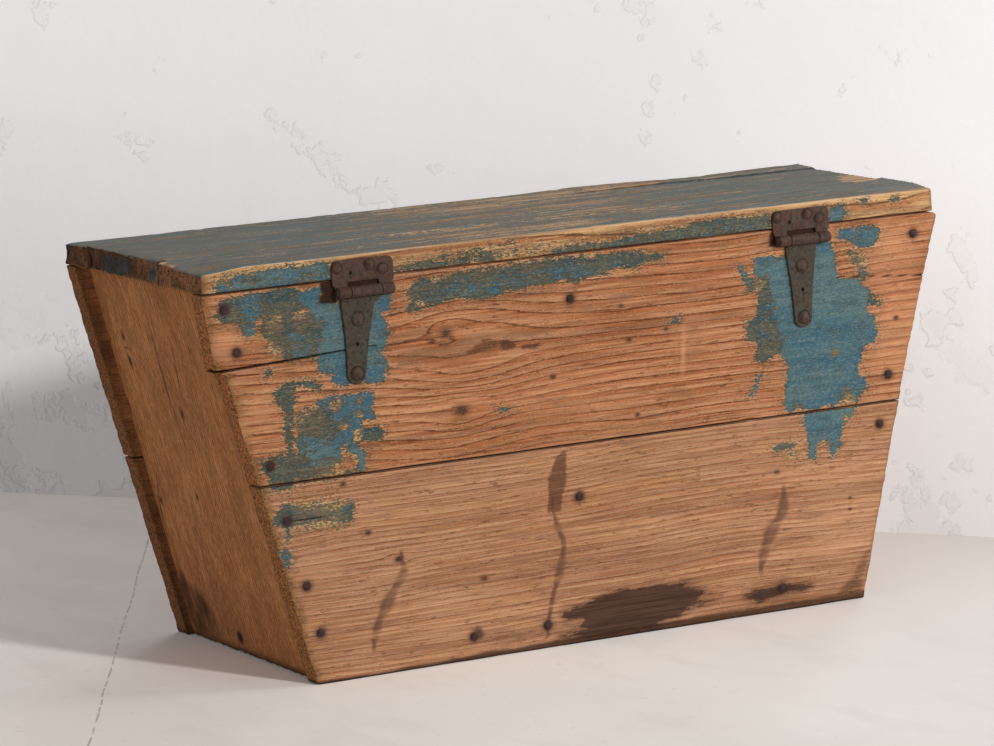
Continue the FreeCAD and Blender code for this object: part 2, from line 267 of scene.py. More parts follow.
def seen_rays(f):
    """1 for rays that end in the picture: straight, by a mirror or through glass."""
    straight, mirrored, through = (f.node("ShaderNodeLightPath", out=kind) for kind in (
        "Is Camera Ray", "Is Glossy Ray", "Is Transmission Ray"))
    return straight.most(mirrored).most(through)


def glowing(f, amount, where=1.0):
    """A little light of its own, where it is seen only."""
    f.shader.inputs["Emission Strength"].default_value = amount
    f.feed(f.shader.inputs["Emission Color"],
           f.blend(seen_rays(f) * where, (0, 0, 0), (255, 255, 255)))


def leaning(f, normal, lean):
    """The normal turned towards the key lamp, where it is seen only."""
    turned = f.node("ShaderNodeVectorMath", {"operation": "MULTIPLY_ADD"},
                    {0: tuple(to_key), 1: seen_rays(f) * lean, 2: normal})
    return f.node("ShaderNodeVectorMath", {"operation": "NORMALIZE"}, {0: turned})


# %% Floor
FLOOR_HALF = 14.0
FLOOR_LEAN, FLOOR_GLOW = 0.45, 0.04
FLOOR_CRACK = on_plane([(147, 545), (88, 746)], (0, 0, 0), (0, 0, 1))
CRACK_HALF, CRACK_WANDER = 1.6 * MM, 10 * MM


def floor_finish():
    f = Finish("floor_paint")
    place = f.node("ShaderNodeNewGeometry", out="Position")
    cloud, brushed, speck = f.noise(place, 1.3, 4.0), f.noise(place, (9, 3, 9), 4.0), f.noise(place, 60)
    x, y, _ = place.parts()
    run = FLOOR_CRACK[1] - FLOOR_CRACK[0]
    across = np.array([-run[1], run[0]]) / np.hypot(run[0], run[1])
    off = x * across[0] + y * across[1] - float(FLOOR_CRACK[0][:2] @ across)
    off = (off + (brushed - 0.5) * CRACK_WANDER).size()
    tone = f.layers(f.blend(cloud.ramp(0.4, 0.6), (240, 232, 225), (247, 241, 235)),
                    (brushed.ramp(0.5, 0.62) * 0.3, (226, 218, 211)),
                    (speck.ramp(0.64, 0.74) * 0.3, (200, 191, 183)),
                    # painted shade: the floor is darker towards the right, where the side lamp lights it
                    # more
                    (x.ramp(-0.1, 0.4) * 0.75, (218, 212, 207)),
                    (off.ramp(CRACK_HALF, CRACK_HALF / 4) * speck.ramp(0.42, 0.5) * 0.6,
                     (120, 110, 102)))
    glowing(f, FLOOR_GLOW)
    return f.wear(tone, speck * 0.12 + 0.26, leaning(f, f.bump(speck, 0.6 * MM, 0.25), FLOOR_LEAN), 0.5)


panel("floor", [(x * FLOOR_HALF, y * FLOOR_HALF, 0) for x, y in ((-1, -1), (1, -1), (1, 1), (-1, 1))],
      floor_finish())

# %% Wall
WALL_REACH, WALL_HEIGHT = 0.45, 1.5
WALL_LEAN, WALL_GLOW = 1.25, 0.19
FOOT_HEIGHT = 0.42      # the plaster has peeled up to here


def wall_finish():
    f = Finish("wall_plaster")
    place = f.node("ShaderNodeNewGeometry", out="Position")
    trowel, grit = f.noise(place, 4, 5.0, 0.5), f.noise(place, 40, 4.0, 0.6)
    chips = f.noise(place, 11, 5.0, 0.62).ramp(0.615, 0.645)
    x, _, z = place.parts()
    peeled = f.noise(place, 16, 5.0, 0.6).ramp(0.5, 0.56) * z.ramp(FOOT_HEIGHT, 0.0)
    relief = f.bump(trowel * 2.6 + grit * 0.2 - chips * 0.24 - peeled * 0.27, 10 * MM, 0.95)
    tone = f.layers(f.blend(chips * 0.10, (253, 253, 255), (212, 210, 210)),
                    (peeled * 0.2, (222, 216, 210)))
    # painted light: the wall glows where seen, less low down and to the left, so the chest's shadow on
    # it stays dark
    glowing(f, WALL_GLOW, (z + x * 0.25).ramp(0.15, 0.62) * 0.75 + 0.25)
    f.wear(tone, 0.85, leaning(f, relief, WALL_LEAN), 0.5)
    behind = f.node("ShaderNodeNewGeometry", out="Backfacing")
    seen = f.node("ShaderNodeLightPath", out="Is Camera Ray")
    mixed = f.node("ShaderNodeMixShader", {}, {
        0: behind * seen, 1: Value(f, f.shader.outputs[0]), 2: f.node("ShaderNodeBsdfTransparent")})
    f.feed(f.tree.nodes["Material Output"].inputs["Surface"], mixed)
    return f.material


run = FLOOR_LINE[1] - FLOOR_LINE[0]
left_foot, right_foot = FLOOR_LINE[0] - run * WALL_REACH, FLOOR_LINE[1] + run * WALL_REACH
top = np.array([0, 0, WALL_HEIGHT])
panel("wall", [left_foot, right_foot, right_foot + top, left_foot + top], wall_finish())
print("wall %.2f m long" % np.linalg.norm(right_foot - left_foot))

# %% [markdown]
# ## The sizes that everything hangs on
#
# The boards' faces and seams come from the frame's own boxes. The lengths at the floor, of the
# sides and between the ends, can't be read from a box, so they are repeated here.

# %% Sizes from the frame
UPPER_LO, UPPER_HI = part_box("hinge_side_upper_board")
LOWER_LO, LOWER_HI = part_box("hinge_side_lower_board")
OPEN_LO, OPEN_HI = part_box("opening_side_upper_board")
HINGE_FACE, HINGE_INNER = UPPER_LO.y, UPPER_HI.y
OPENING_FACE, OPENING_INNER = OPEN_HI.y, OPEN_LO.y
BOX_TOP = UPPER_HI.z
LID_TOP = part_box("lid_hinge_side_board")[1].z
TOP_HALF = UPPER_HI.x
BOTTOM_HALF = 333.5 * MM
END_BOTTOM_HALF = 325.5 * MM
END_TOP_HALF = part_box("right_end_board")[1].x
END_LEVEL_T = END_BOTTOM_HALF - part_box("right_end_board")[0].x
SIDE_SLOPE = (TOP_HALF - BOTTOM_HALF) / BOX_TOP
END_SLOPE = (END_TOP_HALF - END_BOTTOM_HALF) / BOX_TOP


def side_x(z):
    """Half length of the side boards at height z."""
    return BOTTOM_HALF + SIDE_SLOPE * z


def end_x(z):
    """The end boards' outer face at height z, from the middle."""
    return END_BOTTOM_HALF + END_SLOPE * z


print("hinge face y %.4f, box top z %.3f" % (HINGE_FACE, BOX_TOP))
print("slopes %.3f %.3f" % (SIDE_SLOPE, END_SLOPE))

# %% [markdown]
# ## Noise, outlines and growth rings
#
# The relief of old pine is in the mesh, so its patterns are worked out with numpy at each
# vertex. `noise` is smooth value noise from a hash of the lattice corners, which gives the same
# numbers on each run. `within` says how far a point lies inside an outline. `rings` counts the
# years across a board: the count is even along the grain, wanders a little, and swells round
# knots. Whole numbers are the hard dark ends of a year.

# %% Noise
HASH = np.array([73856093, 19349663, 83492791], np.uint64)


def noise(points, scale, seed, octaves=1):
    """Smooth noise from -1 to 1 at points, with features 1 / scale long on each axis."""
    total, weight = np.zeros(len(points)), 0.0
    for octave in range(octaves):
        p = points * np.asarray(scale, float) * 2 ** octave + 1000.5 + 17.3 * octave
        cell = np.floor(p)
        part = p - cell
        part = part * part * (3 - 2 * part)
        cell = cell.astype(np.int64).astype(np.uint64)
        value = np.zeros(len(points))
        for corner in itertools.product((0, 1), repeat=3):
            key = ((cell + np.array(corner, np.uint64)) * HASH).sum(1) + np.uint64(seed * 7919)
            key = (key ^ (key >> np.uint64(15))) * np.uint64(0x9E3779B97F4A7C15)
            key ^= key >> np.uint64(31)
            share = np.where(corner, part, 1 - part).prod(1)
            value += share * ((key & np.uint64(0xFFFF)).astype(float) / 32767.5 - 1)
        total += value * 0.5 ** octave
        weight += 0.5 ** octave
    return total / weight


def smooth(x, low, high):
    t = np.clip((x - low) / (high - low), 0, 1)
    return t * t * (3 - 2 * t)


# %% Distances to lines and outlines
def from_line(points, line):
    """Distance of 2-D points from a line of straight runs, and how far along it they are."""
    best, along = np.full(len(points), 1e9), np.zeros(len(points))
    walked = 0.0
    for a, b in zip(line[:-1], line[1:]):
        run = b - a
        length = np.linalg.norm(run)
        t = np.clip(((points - a) @ run) / length ** 2, 0, 1)
        distance = np.linalg.norm(points - a - t[:, None] * run, axis=1)
        nearer = distance < best
        best[nearer] = distance[nearer]
        along[nearer] = walked + t[nearer] * length
        walked += length
    return best, along / walked


def within(points, outline):
    """How far 2-D points lie inside a closed outline; negative outside it."""
    closed = np.vstack([outline, outline[:1]])
    distance, _ = from_line(points, closed)
    inside = np.zeros(len(points), bool)
    for (ax, ay), (bx, by) in zip(closed[:-1], closed[1:]):
        crosses = (ay > points[:, 1]) != (by > points[:, 1])
        where = ax + (points[:, 1] - ay) / (by - ay + 1e-12) * (bx - ax)
        inside ^= crosses & (points[:, 0] < where)
    return np.where(inside, distance, -distance)


# %% Growth rings
def rings(grain, pitch, lean, wander, knots, seed):
    """Years counted across the board; grain holds (along, across, through) in metres."""
    along, across, through = grain.T
    s = across + lean * through
    s = s + wander * noise(grain, (3.2, 5, 3), seed)
    s = s + wander * 0.35 * noise(grain, (9, 16, 9), seed + 1)
    for x, v, size, swell in knots:
        dx, dv = along - x, across - v
        pull = np.exp(-(dx / (size * 5)) ** 2 - (dv / (size * 2.6)) ** 2)
        s = s - dv * swell * pull
    count = s / pitch
    uneven = np.column_stack([count / 2.3, np.zeros_like(count), np.zeros_like(count)])
    return count + 0.45 * noise(uneven, (1, 1, 1), seed + 2)


def late(count):
    """0 in soft early wood, up to 1 in the hard late wood at the year's end."""
    part = count - np.floor(count)
    return smooth(part, 0.35, 0.88) * (1 - smooth(part, 0.94, 1.0))


print("noise sample", noise(np.array([[0.1, 0.2, 0.3]]), (10, 10, 10), 1, 3).round(4))

# %% [markdown]
# ## A worn board
#
# A board is a closed skin on a grid. The grid lines crowd together at the arrises, so that these
# can be rounded by a radius that changes from place to place, and beside cracks. The grid is
# laid between the board's eight corners, the mesh gives its own normals, and the relief moves
# each vertex along them, nearly always inwards: soft early wood lies lower than late wood, end
# grain is rough, and dents, chips and splits go deeper. What the finish needs to know is kept at
# the vertices as attributes.

# %% The grid's lines
NEAR_EDGE = np.array([0, 0.35, 0.8, 1.4, 2.2, 3.2, 4.6]) * MM


def grid_lines(length, step, fine=()):
    """Places from 0 to length: crowded near both ends, and in the fine stretches."""
    places = [NEAR_EDGE, length - NEAR_EDGE, np.arange(NEAR_EDGE[-1], length - NEAR_EDGE[-1], step)]
    places += [np.arange(a, b, s) for a, b, s in fine]
    merged = [0.0]
    for place in np.sort(np.concatenate(places)):
        if 0 < place < length and place - merged[-1] > 0.3 * MM:
            merged.append(place)
    if length - merged[-1] < 0.3 * MM:
        merged.pop()
    return np.array(merged + [length])


def skin(counts):
    """Indices of a box grid's outer points, and the quads between them."""
    index = np.full(counts, -1)
    i, j, k = np.meshgrid(*[np.arange(n) for n in counts], indexing="ij")
    last = np.array(counts) - 1
    outer = (i == 0) | (i == last[0]) | (j == 0) | (j == last[1]) | (k == 0) | (k == last[2])
    index[outer] = np.arange(outer.sum())
    quads = []
    for axis in range(3):
        for end in (0, last[axis]):
            side = np.take(index, end, axis=axis)
            loop = [side[:-1, :-1], side[1:, :-1], side[1:, 1:], side[:-1, 1:]]
            if (end == 0) == (axis != 1):
                loop.reverse()
            quads.append(np.stack(loop, -1).reshape(-1, 4))
    return np.argwhere(outer), np.concatenate(quads)


# %% From vertices to an object
def mesh_object(name, points, quads):
    mesh = bpy.data.meshes.new(name)
    mesh.vertices.add(len(points))
    mesh.vertices.foreach_set("co", points.astype(np.float32).ravel())
    mesh.loops.add(quads.size)
    mesh.loops.foreach_set("vertex_index", quads.astype(np.int32).ravel())
    mesh.polygons.add(len(quads))
    mesh.polygons.foreach_set("loop_start", np.arange(0, quads.size, quads.shape[1], dtype=np.int32))
    mesh.polygons.foreach_set("use_smooth", np.ones(len(quads), bool))
    mesh.update(calc_edges=True)
    made = bpy.data.objects.new(name, mesh)
    bpy.context.scene.collection.objects.link(made)
    return made


def vertex_normals(mesh):
    normals = np.zeros(len(mesh.vertices) * 3, np.float32)
    mesh.vertices.foreach_get("normal", normals)
    return normals.reshape(-1, 3).astype(float)


def keep_attribute(mesh, name, values):
    values = np.asarray(values, np.float32)
    vector = values.ndim == 2
    layer = mesh.attributes.new(name, "FLOAT_VECTOR" if vector else "FLOAT", "POINT")
    layer.data.foreach_set("vector" if vector else "value", values.ravel())


def box_corners(lo, hi):
    """Eight corners as [x end][y end][z end]."""
    return np.array([[[(x, y, z) for z in (lo[2], hi[2])] for y in (lo[1], hi[1])]
                     for x in (lo[0], hi[0])])


# %% What every piece is given
def fitted(made, node, body, finish):
    """Gives a piece its finish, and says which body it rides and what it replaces."""
    made.data.materials.append(finish)
    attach(made, body)
    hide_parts(node)
    print("%-30s %6d faces" % (made.name, len(made.data.polygons)))


# %% The board itself
FAR = 90.0      # farther than any mark reaches, in mm
ATTRIBUTES = {"paint": -FAR, "thin": 0.5, "worn": 0.0, "weathered": 0.0, "scratch": 0.0, "pale": 0.0,
              "stain": -FAR, "resin": -FAR, "tint": -FAR, "iron": 0.0, "dirt": 0.0, "split": 0.0,
              "vein": (FAR, 1.0, FAR), "knot_at": (FAR, FAR, FAR)}
SEED_SHIFT = 0.37       # moves each board to another place in the finish's noise, in metres
KNOT_STRETCH = 0.7
EYE_SIZE = 10 * MM      # the years bend round a knot of this size, but its core isn't cut
WAVE, FUZZ, PIT, END_ROUGH, END_RIDGE, NIBBLE, CHEWED = 0.5, 0.12, 0.9, 1.5, 0.4, 2.6, 2.8      # in mm


def board(node, body, finish, corners, step, pitch, lean=0.35, wander=0.012, knots=(),
          seed=0, arris=(0.8, 2.2), ridge=0.35, marks=None, shift=None, fine=((), (), ()),
          tight=(1.0, 1.0), chew=1.0):
    """A worn board between eight corners [along][across][through]; tight edges are less round.

    The grid's step along, across and through, and the pitch of the years, are in mm.
    """
    sides = [corners[1] - corners[0], corners[:, 1] - corners[:, 0],
             corners[:, :, 1] - corners[:, :, 0]]
    sides = [s.reshape(-1, 3).mean(0) for s in sides]
    lengths = np.array([np.linalg.norm(s) for s in sides])
    axes = np.array([s / n for s, n in zip(sides, lengths)])
    lines = [grid_lines(n, s * MM, f) for n, s, f in zip(lengths, step, fine)]
    places, quads = skin([len(line) for line in lines])
    p = np.column_stack([line[places[:, i]] for i, line in enumerate(lines)])

    # rounded arrises
    radius = arris[0] + (arris[1] - arris[0]) * smooth(noise(p, (22, 60, 60), seed + 11, 3), -0.5, 0.7)
    beside = 1 - smooth(np.minimum(p[:, 1], lengths[1] - p[:, 1]), 2 * MM, 8 * MM)
    hold = 1 - beside * (1 - np.where(p[:, 1] < lengths[1] / 2, tight[0], tight[1]))
    radius = (radius * hold * MM)[:, None]
    core = np.clip(p, radius, lengths - radius)
    out = p - core
    out_length = np.linalg.norm(out, axis=1, keepdims=True)
    p = np.where(out_length > 1e-9, core + out * radius / np.maximum(out_length, 1e-9), p)
    to_edge = np.sort(np.minimum(p, lengths - p), axis=1)[:, 1] / MM

    # between the eight corners
    t = p / lengths
    world_p = np.zeros_like(p)
    for i, j, k in itertools.product((0, 1), repeat=3):
        share = (np.where(i, t[:, 0], 1 - t[:, 0]) * np.where(j, t[:, 1], 1 - t[:, 1])
                 * np.where(k, t[:, 2], 1 - t[:, 2]))
        world_p += share[:, None] * corners[i, j, k]
    if shift:
        world_p += shift(world_p)
    winding = np.linalg.det(axes)
    made = mesh_object("worn_" + node, world_p, quads if winding > 0 else quads[:, ::-1])
    normals = vertex_normals(made.data)

    # the wood's own pattern
    grain = world_p @ axes.T
    end = smooth(np.abs(normals @ axes[0]), 0.5, 0.85)
    count = rings(grain, pitch * MM, lean, wander, knots, seed)
    found = {key: np.tile(np.array(start, float), (len(p), 1) if np.ndim(start) else len(p))
             for key, start in ATTRIBUTES.items()}
    depth = np.zeros(len(p))
    if marks:
        depth += marks(found, world_p, normals)
    for x, v, size, _ in [knot for knot in knots if knot[2] < EYE_SIZE]:
        off = np.column_stack([(grain[:, 0] - x) * KNOT_STRETCH, grain[:, 1] - v]) / size
        reach = np.linalg.norm(off, axis=1)
        nearer = reach < found["knot_at"][:, 2]
        found["knot_at"][nearer] = np.column_stack([off, reach])[nearer]
    knot = 1 - smooth(found["knot_at"][:, 2], 0.75, 1.25)

    # relief, in millimetres below the sawn face
    soft = (1 - late(count)) * (1 - end) * (1 - knot)
    depth += ridge * soft
    depth += WAVE * smooth(noise(grain, (7, 14, 14), seed + 3, 3), -0.6, 0.8) * (1 - end)
    depth += FUZZ * noise(grain, (60, 700, 700), seed + 4) * (1 - end)
    depth += PIT * smooth(noise(grain, (90, 190, 190), seed + 5), 0.72, 0.95)
    rough = 0.5 + 0.5 * noise(world_p, (160, 160, 160), seed + 6, 3)
    depth += end * (END_ROUGH * rough + END_RIDGE * late(count))
    nibble = smooth(noise(world_p, (48, 48, 48), seed + 7, 2), 0.3, 0.8)
    from_end = np.minimum(p[:, 0], (lengths[0] - p[:, 0]) * 2.5) / MM
    nibble = nibble * chew * hold * (0.35 + 0.65 * smooth(from_end, 4, 22))
    depth += nibble * NIBBLE * (1 - smooth(to_edge, 0.5, 5.0))
    chewed = chew * hold * smooth(noise(world_p, (110, 120, 120), seed + 8, 3), -0.3, 0.7)
    depth += chewed * CHEWED * (1 - smooth(to_edge, 0.3, 3.6)) * (1 - smooth(from_end, 0.5, 4.5))
    depth *= 1 - np.abs(normals @ axes[1]) * (1 - hold)
    world_p = world_p - normals * (depth * MM)[:, None]

    made.data.vertices.foreach_set("co", world_p.astype(np.float32).ravel())
    made.data.update()
    kept = dict(grain=grain + seed * SEED_SHIFT, rings=count, end=end, edge=to_edge,
                from_end=from_end, depth=depth)
    kept.update({key: np.clip(values, -FAR, FAR) for key, values in found.items()})
    for key, values in kept.items():
        keep_attribute(made.data, key, values)
    fitted(made, node, body, finish)


# %% [markdown]
# ## The pine finish
#
# Bare pine that has been scrubbed and handled for a century is orange-brown, with gold and grey
# patches, reddish dark lines at the year's ends and a saturated glow beside each. The finish
# mixes these from the ring count and from noises stretched along the grain: `fibre` and `thread`
# are a millimetre or two wide, `streak` and `patch` are broad. Knots, bled veins and stains are
# laid over the wood by their distances, which the mesh carries, and `sway` frays their edges.

# %% Noises along the grain
NOISES = {      # scale along the grain, scale across it, detail, roughness
    "fibre": (16, 1000, 3.0, 0.6), "thread": (11, 400, 4.0, 0.62), "streak": (3.5, 110, 4.0, 0.6),
    "cloud": (5, 14, 4.0, 0.6), "bar": (1.6, 38, 3.0, 0.55), "patch": (16, 55, 5.0, 0.65),
    "speck": (330, 800, 3.0, 0.6), "dash": (75, 420, 3.0, 0.55), "blot": (24, 170, 5.0, 0.65),
    "pores": (420, 380, 5.0, 0.75), "moss": (60, 60, 5.0, 0.65), "fray": (48, 250, 5.0, 0.6),
    "coarse": (60, 95, 3.0, 0.55), "flake": (80, 380, 6.0, 0.72), "broad": (9, 75, 5.0, 0.65),
    "scored": (520, 40, 4.0, 0.6)}


class Grain:
    """The noises that all layers of one wooden finish share, each made when first asked for."""

    def __init__(self, f):
        self.f = f
        self.at = f.attribute("grain", "Vector")
        year = self.sway("rings", thread=0.4, patch=0.3).fraction()
        self.shade = year.ramp(0.2, 0.88) * year.ramp(1.0, 0.94)
        self.glow = year.ramp(0.35, 0.7) * year.ramp(0.96, 0.82)
        self.hard = year.ramp(0.8, 0.93) * year.ramp(1.0, 0.96)

    def __getattr__(self, key):
        along, across, detail, rough = NOISES[key]
        made = self.f.noise(self.at, (along, across, across), detail, rough)
        setattr(self, key, made)
        return made

    def sway(self, value, **amounts):
        """A socket, or an attribute by name, pushed up and down by noises."""
        value = self.f.attribute(value) if isinstance(value, str) else value
        for key, amount in amounts.items():
            value = value + (getattr(self, key) - 0.5) * amount
        return value


# %% Bare wood
def bare_wood(f, g, light, warm, gold, line, grime, lines, speckled):
    """The colour of the sawn face, from broad patches down to specks."""
    return f.layers(
        f.blend(g.cloud.ramp(0.4, 0.6), light, warm),
        (g.patch.ramp(0.46, 0.58) * 0.5, gold),
        (g.bar.ramp(0.5, 0.6) * 0.4, light, 1.1),
        (g.bar.ramp(0.48, 0.4) * 0.4, grime, 0.88),
        (g.streak.ramp(0.44, 0.6) * 0.4, grime),
        (g.shade * 0.42 * lines, line, 1.15),
        (g.glow * 0.34 * lines, (188, 108, 60)),
        (g.thread.ramp(0.5, 0.64) * 0.42, line, 1.15),
        (g.thread.ramp(0.5, 0.35) * 0.4, light, 1.12),
        (g.hard * (g.streak.ramp(0.34, 0.52) * 0.5 + 0.4) * lines, line, 0.82),
        (g.fibre.ramp(0.52, 0.64) * 0.34, line, 0.95),
        (g.dash.ramp(0.6, 0.68) * 0.6, line, 0.72),
        (g.speck.ramp(0.4, 0.3) * speckled, light, 1.3),
        (g.speck.ramp(0.58, 0.68) * speckled * 0.9, line, 0.75))


# %% What lies on bare wood
def knots_on(f, g, tone):
    """Dark knots, each with a softer ring round it."""
    x, y, reach = f.attribute("knot_at", "Vector").parts()
    ragged, near = g.sway(x * x + y * y, patch=2.4, speck=3.0), reach.ramp(4.0, 3.0)
    return f.layers(tone, (ragged.ramp(3.4, 0.8) * near * 0.45, (112, 74, 50)),
                    (ragged.ramp(1.2, 0.1) * near * 0.85, (66, 52, 42)))


def veins_on(f, g, tone):
    """Lines of resin that crossed the boards and went brown, dark on their left."""
    side, half_width, reach = f.attribute("vein", "Vector").parts()
    near = reach.ramp(14.0, 5.0) * (g.streak.ramp(0.36, 0.54) * 0.6 + 0.4)
    off = g.sway(side, patch=6, speck=4)
    broad, narrow = off.size() / half_width, (off + half_width * 0.45).size()
    return f.layers(tone, (broad.ramp(1.9, 0.5) * near * 0.8, (110, 76, 58)),
                    (narrow.ramp(4.0, 0.4) * near * 0.25, (84, 54, 42)))


def soaked(f, g, tone):
    """Old tints, water stains, resin, iron stain and other darkening, from the distances on the mesh."""
    stain = g.sway("stain", blot=30, speck=6)
    return f.layers(
        tone,
        (g.sway("tint", patch=12).ramp(-3.0, 4.0) * 0.32,
         f.blend(g.patch.ramp(0.45, 0.55), (122, 86, 64), (104, 88, 62))),
        (stain.ramp(-9.0, 0.0) * 0.45, (102, 70, 50)),
        (stain.ramp(-1.5, 2.5) * 0.9, f.blend(g.thread.ramp(0.42, 0.6), (76, 55, 45), (56, 40, 33))),
        (g.sway("resin", patch=6, speck=5).ramp(-2.0, 1.5) * 0.72,
         f.blend(g.thread.ramp(0.42, 0.58), (98, 60, 42), (70, 44, 32))),
        (f.attribute("iron").ramp(0.05, 0.8) * 0.85, (58, 38, 36)),
        (g.sway("dirt", patch=1.3).ramp(0.1, 1.0) * 0.85, (58, 38, 26)))


def rough_end(f, g, colour):
    """End grain: dark pores, dull moss and a few paler splinters."""
    return f.layers(
        f.blend(g.pores.ramp(0.42, 0.58), shade(colour, 1.4), shade(colour, 0.7)),
        (g.moss.ramp(0.5, 0.6) * 0.5, (126, 98, 60)),
        (g.moss.ramp(0.42, 0.32) * 0.5, (178, 116, 70)),
        (g.speck.ramp(0.43, 0.35) * 0.6, (206, 160, 104)),
        (g.pores.ramp(0.58, 0.66) * 0.75, colour, 0.28))


# %% [markdown]
# ## The paint finish
#
# Blue milk paint lies over the wood wherever its distance, broken up by noise along the grain,
# is above nought, so its edge frays as scraped paint does. Where it is worn it flakes off in
# short streaks. Thin paint has gone slate grey and olive, and the lid's top has weathered to a
# pale teal grey with the wood coming through.

# %% Paint
def paint_on(f, g, tone):
    """Paint over the wood; gives the colour and how much paint there is."""
    thin, weathered, scratched = (f.attribute(name) for name in ("thin", "weathered", "scratch"))
    fresh = 1 - weathered
    cover = g.sway("paint", fray=10, coarse=10, flake=14, speck=14)
    lost = g.sway("worn", flake=2.1, speck=1.9) - 0.5 + (g.scored - 0.5) * scratched * 2.0
    lost = lost + cover.ramp(9.0, 0.0) * 0.16 * fresh + thin * 0.10 + (g.broad - 0.5) * weathered * 2.2
    coat = cover.ramp(-0.3, 0.5) * lost.ramp(0.06, -0.05)
    tone = f.layers(
        tone,
        (cover.ramp(-3.0, 2.0) * fresh * (g.thread.ramp(0.6, 0.42) * 0.4 + 0.3),
         f.blend(g.speck.ramp(0.46, 0.6), (220, 184, 132), (88, 80, 56))),
        ((g.sway(cover, speck=70) - 2).ramp(-1.0, 1.0) * fresh * 0.7,
         f.blend(g.coarse.ramp(0.44, 0.56), (84, 88, 60), (66, 76, 74))))

    vivid = f.layers(
        f.blend(g.cloud.ramp(0.44, 0.56), (64, 102, 118), (88, 116, 120)),
        (g.coarse.ramp(0.5, 0.62) * 0.45, (74, 94, 96)),
        (g.streak.ramp(0.48, 0.6) * 0.35, (52, 86, 100)),
        (g.thread.ramp(0.46, 0.34) * 0.3, (104, 132, 138)))
    dull = f.layers(
        f.blend(g.sway(g.coarse, flake=1.2).ramp(0.42, 0.56), (54, 74, 80), (84, 86, 74)),
        (g.patch.ramp(0.5, 0.6) * 0.6, (98, 92, 72)),
        (g.thread.ramp(0.44, 0.34) * 0.4, (120, 114, 94)))
    pale = f.layers(
        f.blend(g.streak.ramp(0.42, 0.56), (112, 128, 130), (130, 124, 112)),
        (g.thread.ramp(0.5, 0.62) * 0.5, (94, 92, 82)),
        (g.broad.ramp(0.46, 0.36) * 0.5, (98, 122, 126)),
        (g.thread.ramp(0.46, 0.34) * 0.45, (168, 160, 144)))
    colour = f.layers(
        vivid, (g.sway(thin, coarse=1.6, flake=2.6).ramp(0.3, 0.7), dull),
        (cover.ramp(3.5, 0.0) * 0.5, (66, 80, 70)),
        (g.dash.ramp(0.56, 0.66) * 0.3, (44, 60, 64)),
        (g.speck.ramp(0.56, 0.66) * 0.5, (46, 62, 62)),
        (g.speck.ramp(0.45, 0.36) * 0.55, (140, 140, 118)),
        (g.scored.ramp(0.55, 0.68) * scratched * 0.5, (140, 136, 112)),
        (weathered, pale))
    return f.blend(coat, tone, colour), coat


# %% The whole wooden finish
def pine(name, light, warm, gold, line, grime, end_tone, lines=1.0, speckled=0.4, relief=0.7,
         painted=True):
    f = Finish(name)
    g = Grain(f)
    end, from_end = f.attribute("end"), f.attribute("from_end")
    face = 1 - end
    tone = f.layers(
        bare_wood(f, g, light, warm, gold, line, grime, lines, speckled),
        (g.sway("edge", patch=9).ramp(4.4, 0.6) * from_end.ramp(0.0, 3.0) * 0.55 * face, light, 1.08),
        (g.sway(from_end, patch=26, speck=14).ramp(13.0, 0.0) * 0.85 * face,
         f.blend(g.speck.ramp(0.42, 0.58), (150, 108, 62), (62, 50, 28))),
        (g.patch.ramp(0.56, 0.66) * 0.4, grime),
        (f.attribute("pale") * 0.6, light, 1.15))
    roughness = g.fibre * 0.2 + 0.7
    height = g.hard * 0.35 + (1 - g.fibre) * 0.5 + (1 - g.thread) * 0.9 + g.speck * 0.5
    if painted:
        tone = f.blend(f.attribute("weathered") * 0.88, tone,
                       f.blend(g.streak.ramp(0.4, 0.6), (222, 188, 152), (172, 142, 114)))
    tone = f.blend(end, veins_on(f, g, knots_on(f, g, tone)), rough_end(f, g, end_tone))
    if painted:
        tone, coat = paint_on(f, g, tone)
        roughness, height = roughness - coat * 0.08, height + coat * 0.9
    # near black in joints, and painted shade in cracks, behind the hinges, on the lid's step and along
    # the foot
    tone = f.layers(soaked(f, g, tone), (f.attribute("split"), (22, 14, 10)),
                    (f.attribute("depth").ramp(1.3, 3.0) * 0.5 * face, (74, 48, 34)))
    return f.wear(tone, roughness, f.bump(height, 0.6 * MM, relief), 0.12)


SIDE_PINE = pine("painted_side_pine", (196, 142, 104), (174, 116, 80), (176, 128, 82), (112, 62, 34),
                 (138, 100, 78), (150, 94, 56))
LOWER_PINE = pine("bare_side_pine", (193, 148, 114), (180, 132, 98), (192, 142, 92), (122, 76, 48),
                  (150, 112, 90), (142, 92, 56), lines=0.72, speckled=0.3, relief=0.4)
END_PINE = pine("end_pine", (214, 152, 102), (194, 130, 84), (192, 138, 82), (136, 82, 48),
                (164, 114, 78), (120, 80, 52), lines=0.8, speckled=0.35, painted=False)
LID_PINE = pine("lid_pine", (210, 168, 120), (180, 132, 92), (188, 148, 98), (116, 72, 44),
                (136, 106, 82), (124, 84, 60))
INNER_PINE = pine("inner_pine", (204, 160, 116), (190, 142, 98), (194, 152, 104), (142, 96, 62),
                  (170, 134, 102), (150, 110, 76), lines=0.7, painted=False)
OPENING_PINE = pine("opening_side_pine", (180, 126, 84), (164, 108, 72), (166, 118, 72), (108, 62, 38),
                    (136, 98, 74), (112, 68, 40), lines=0.6)
print("pine finishes:", len([m for m in bpy.data.materials if "pine" in m.name]))
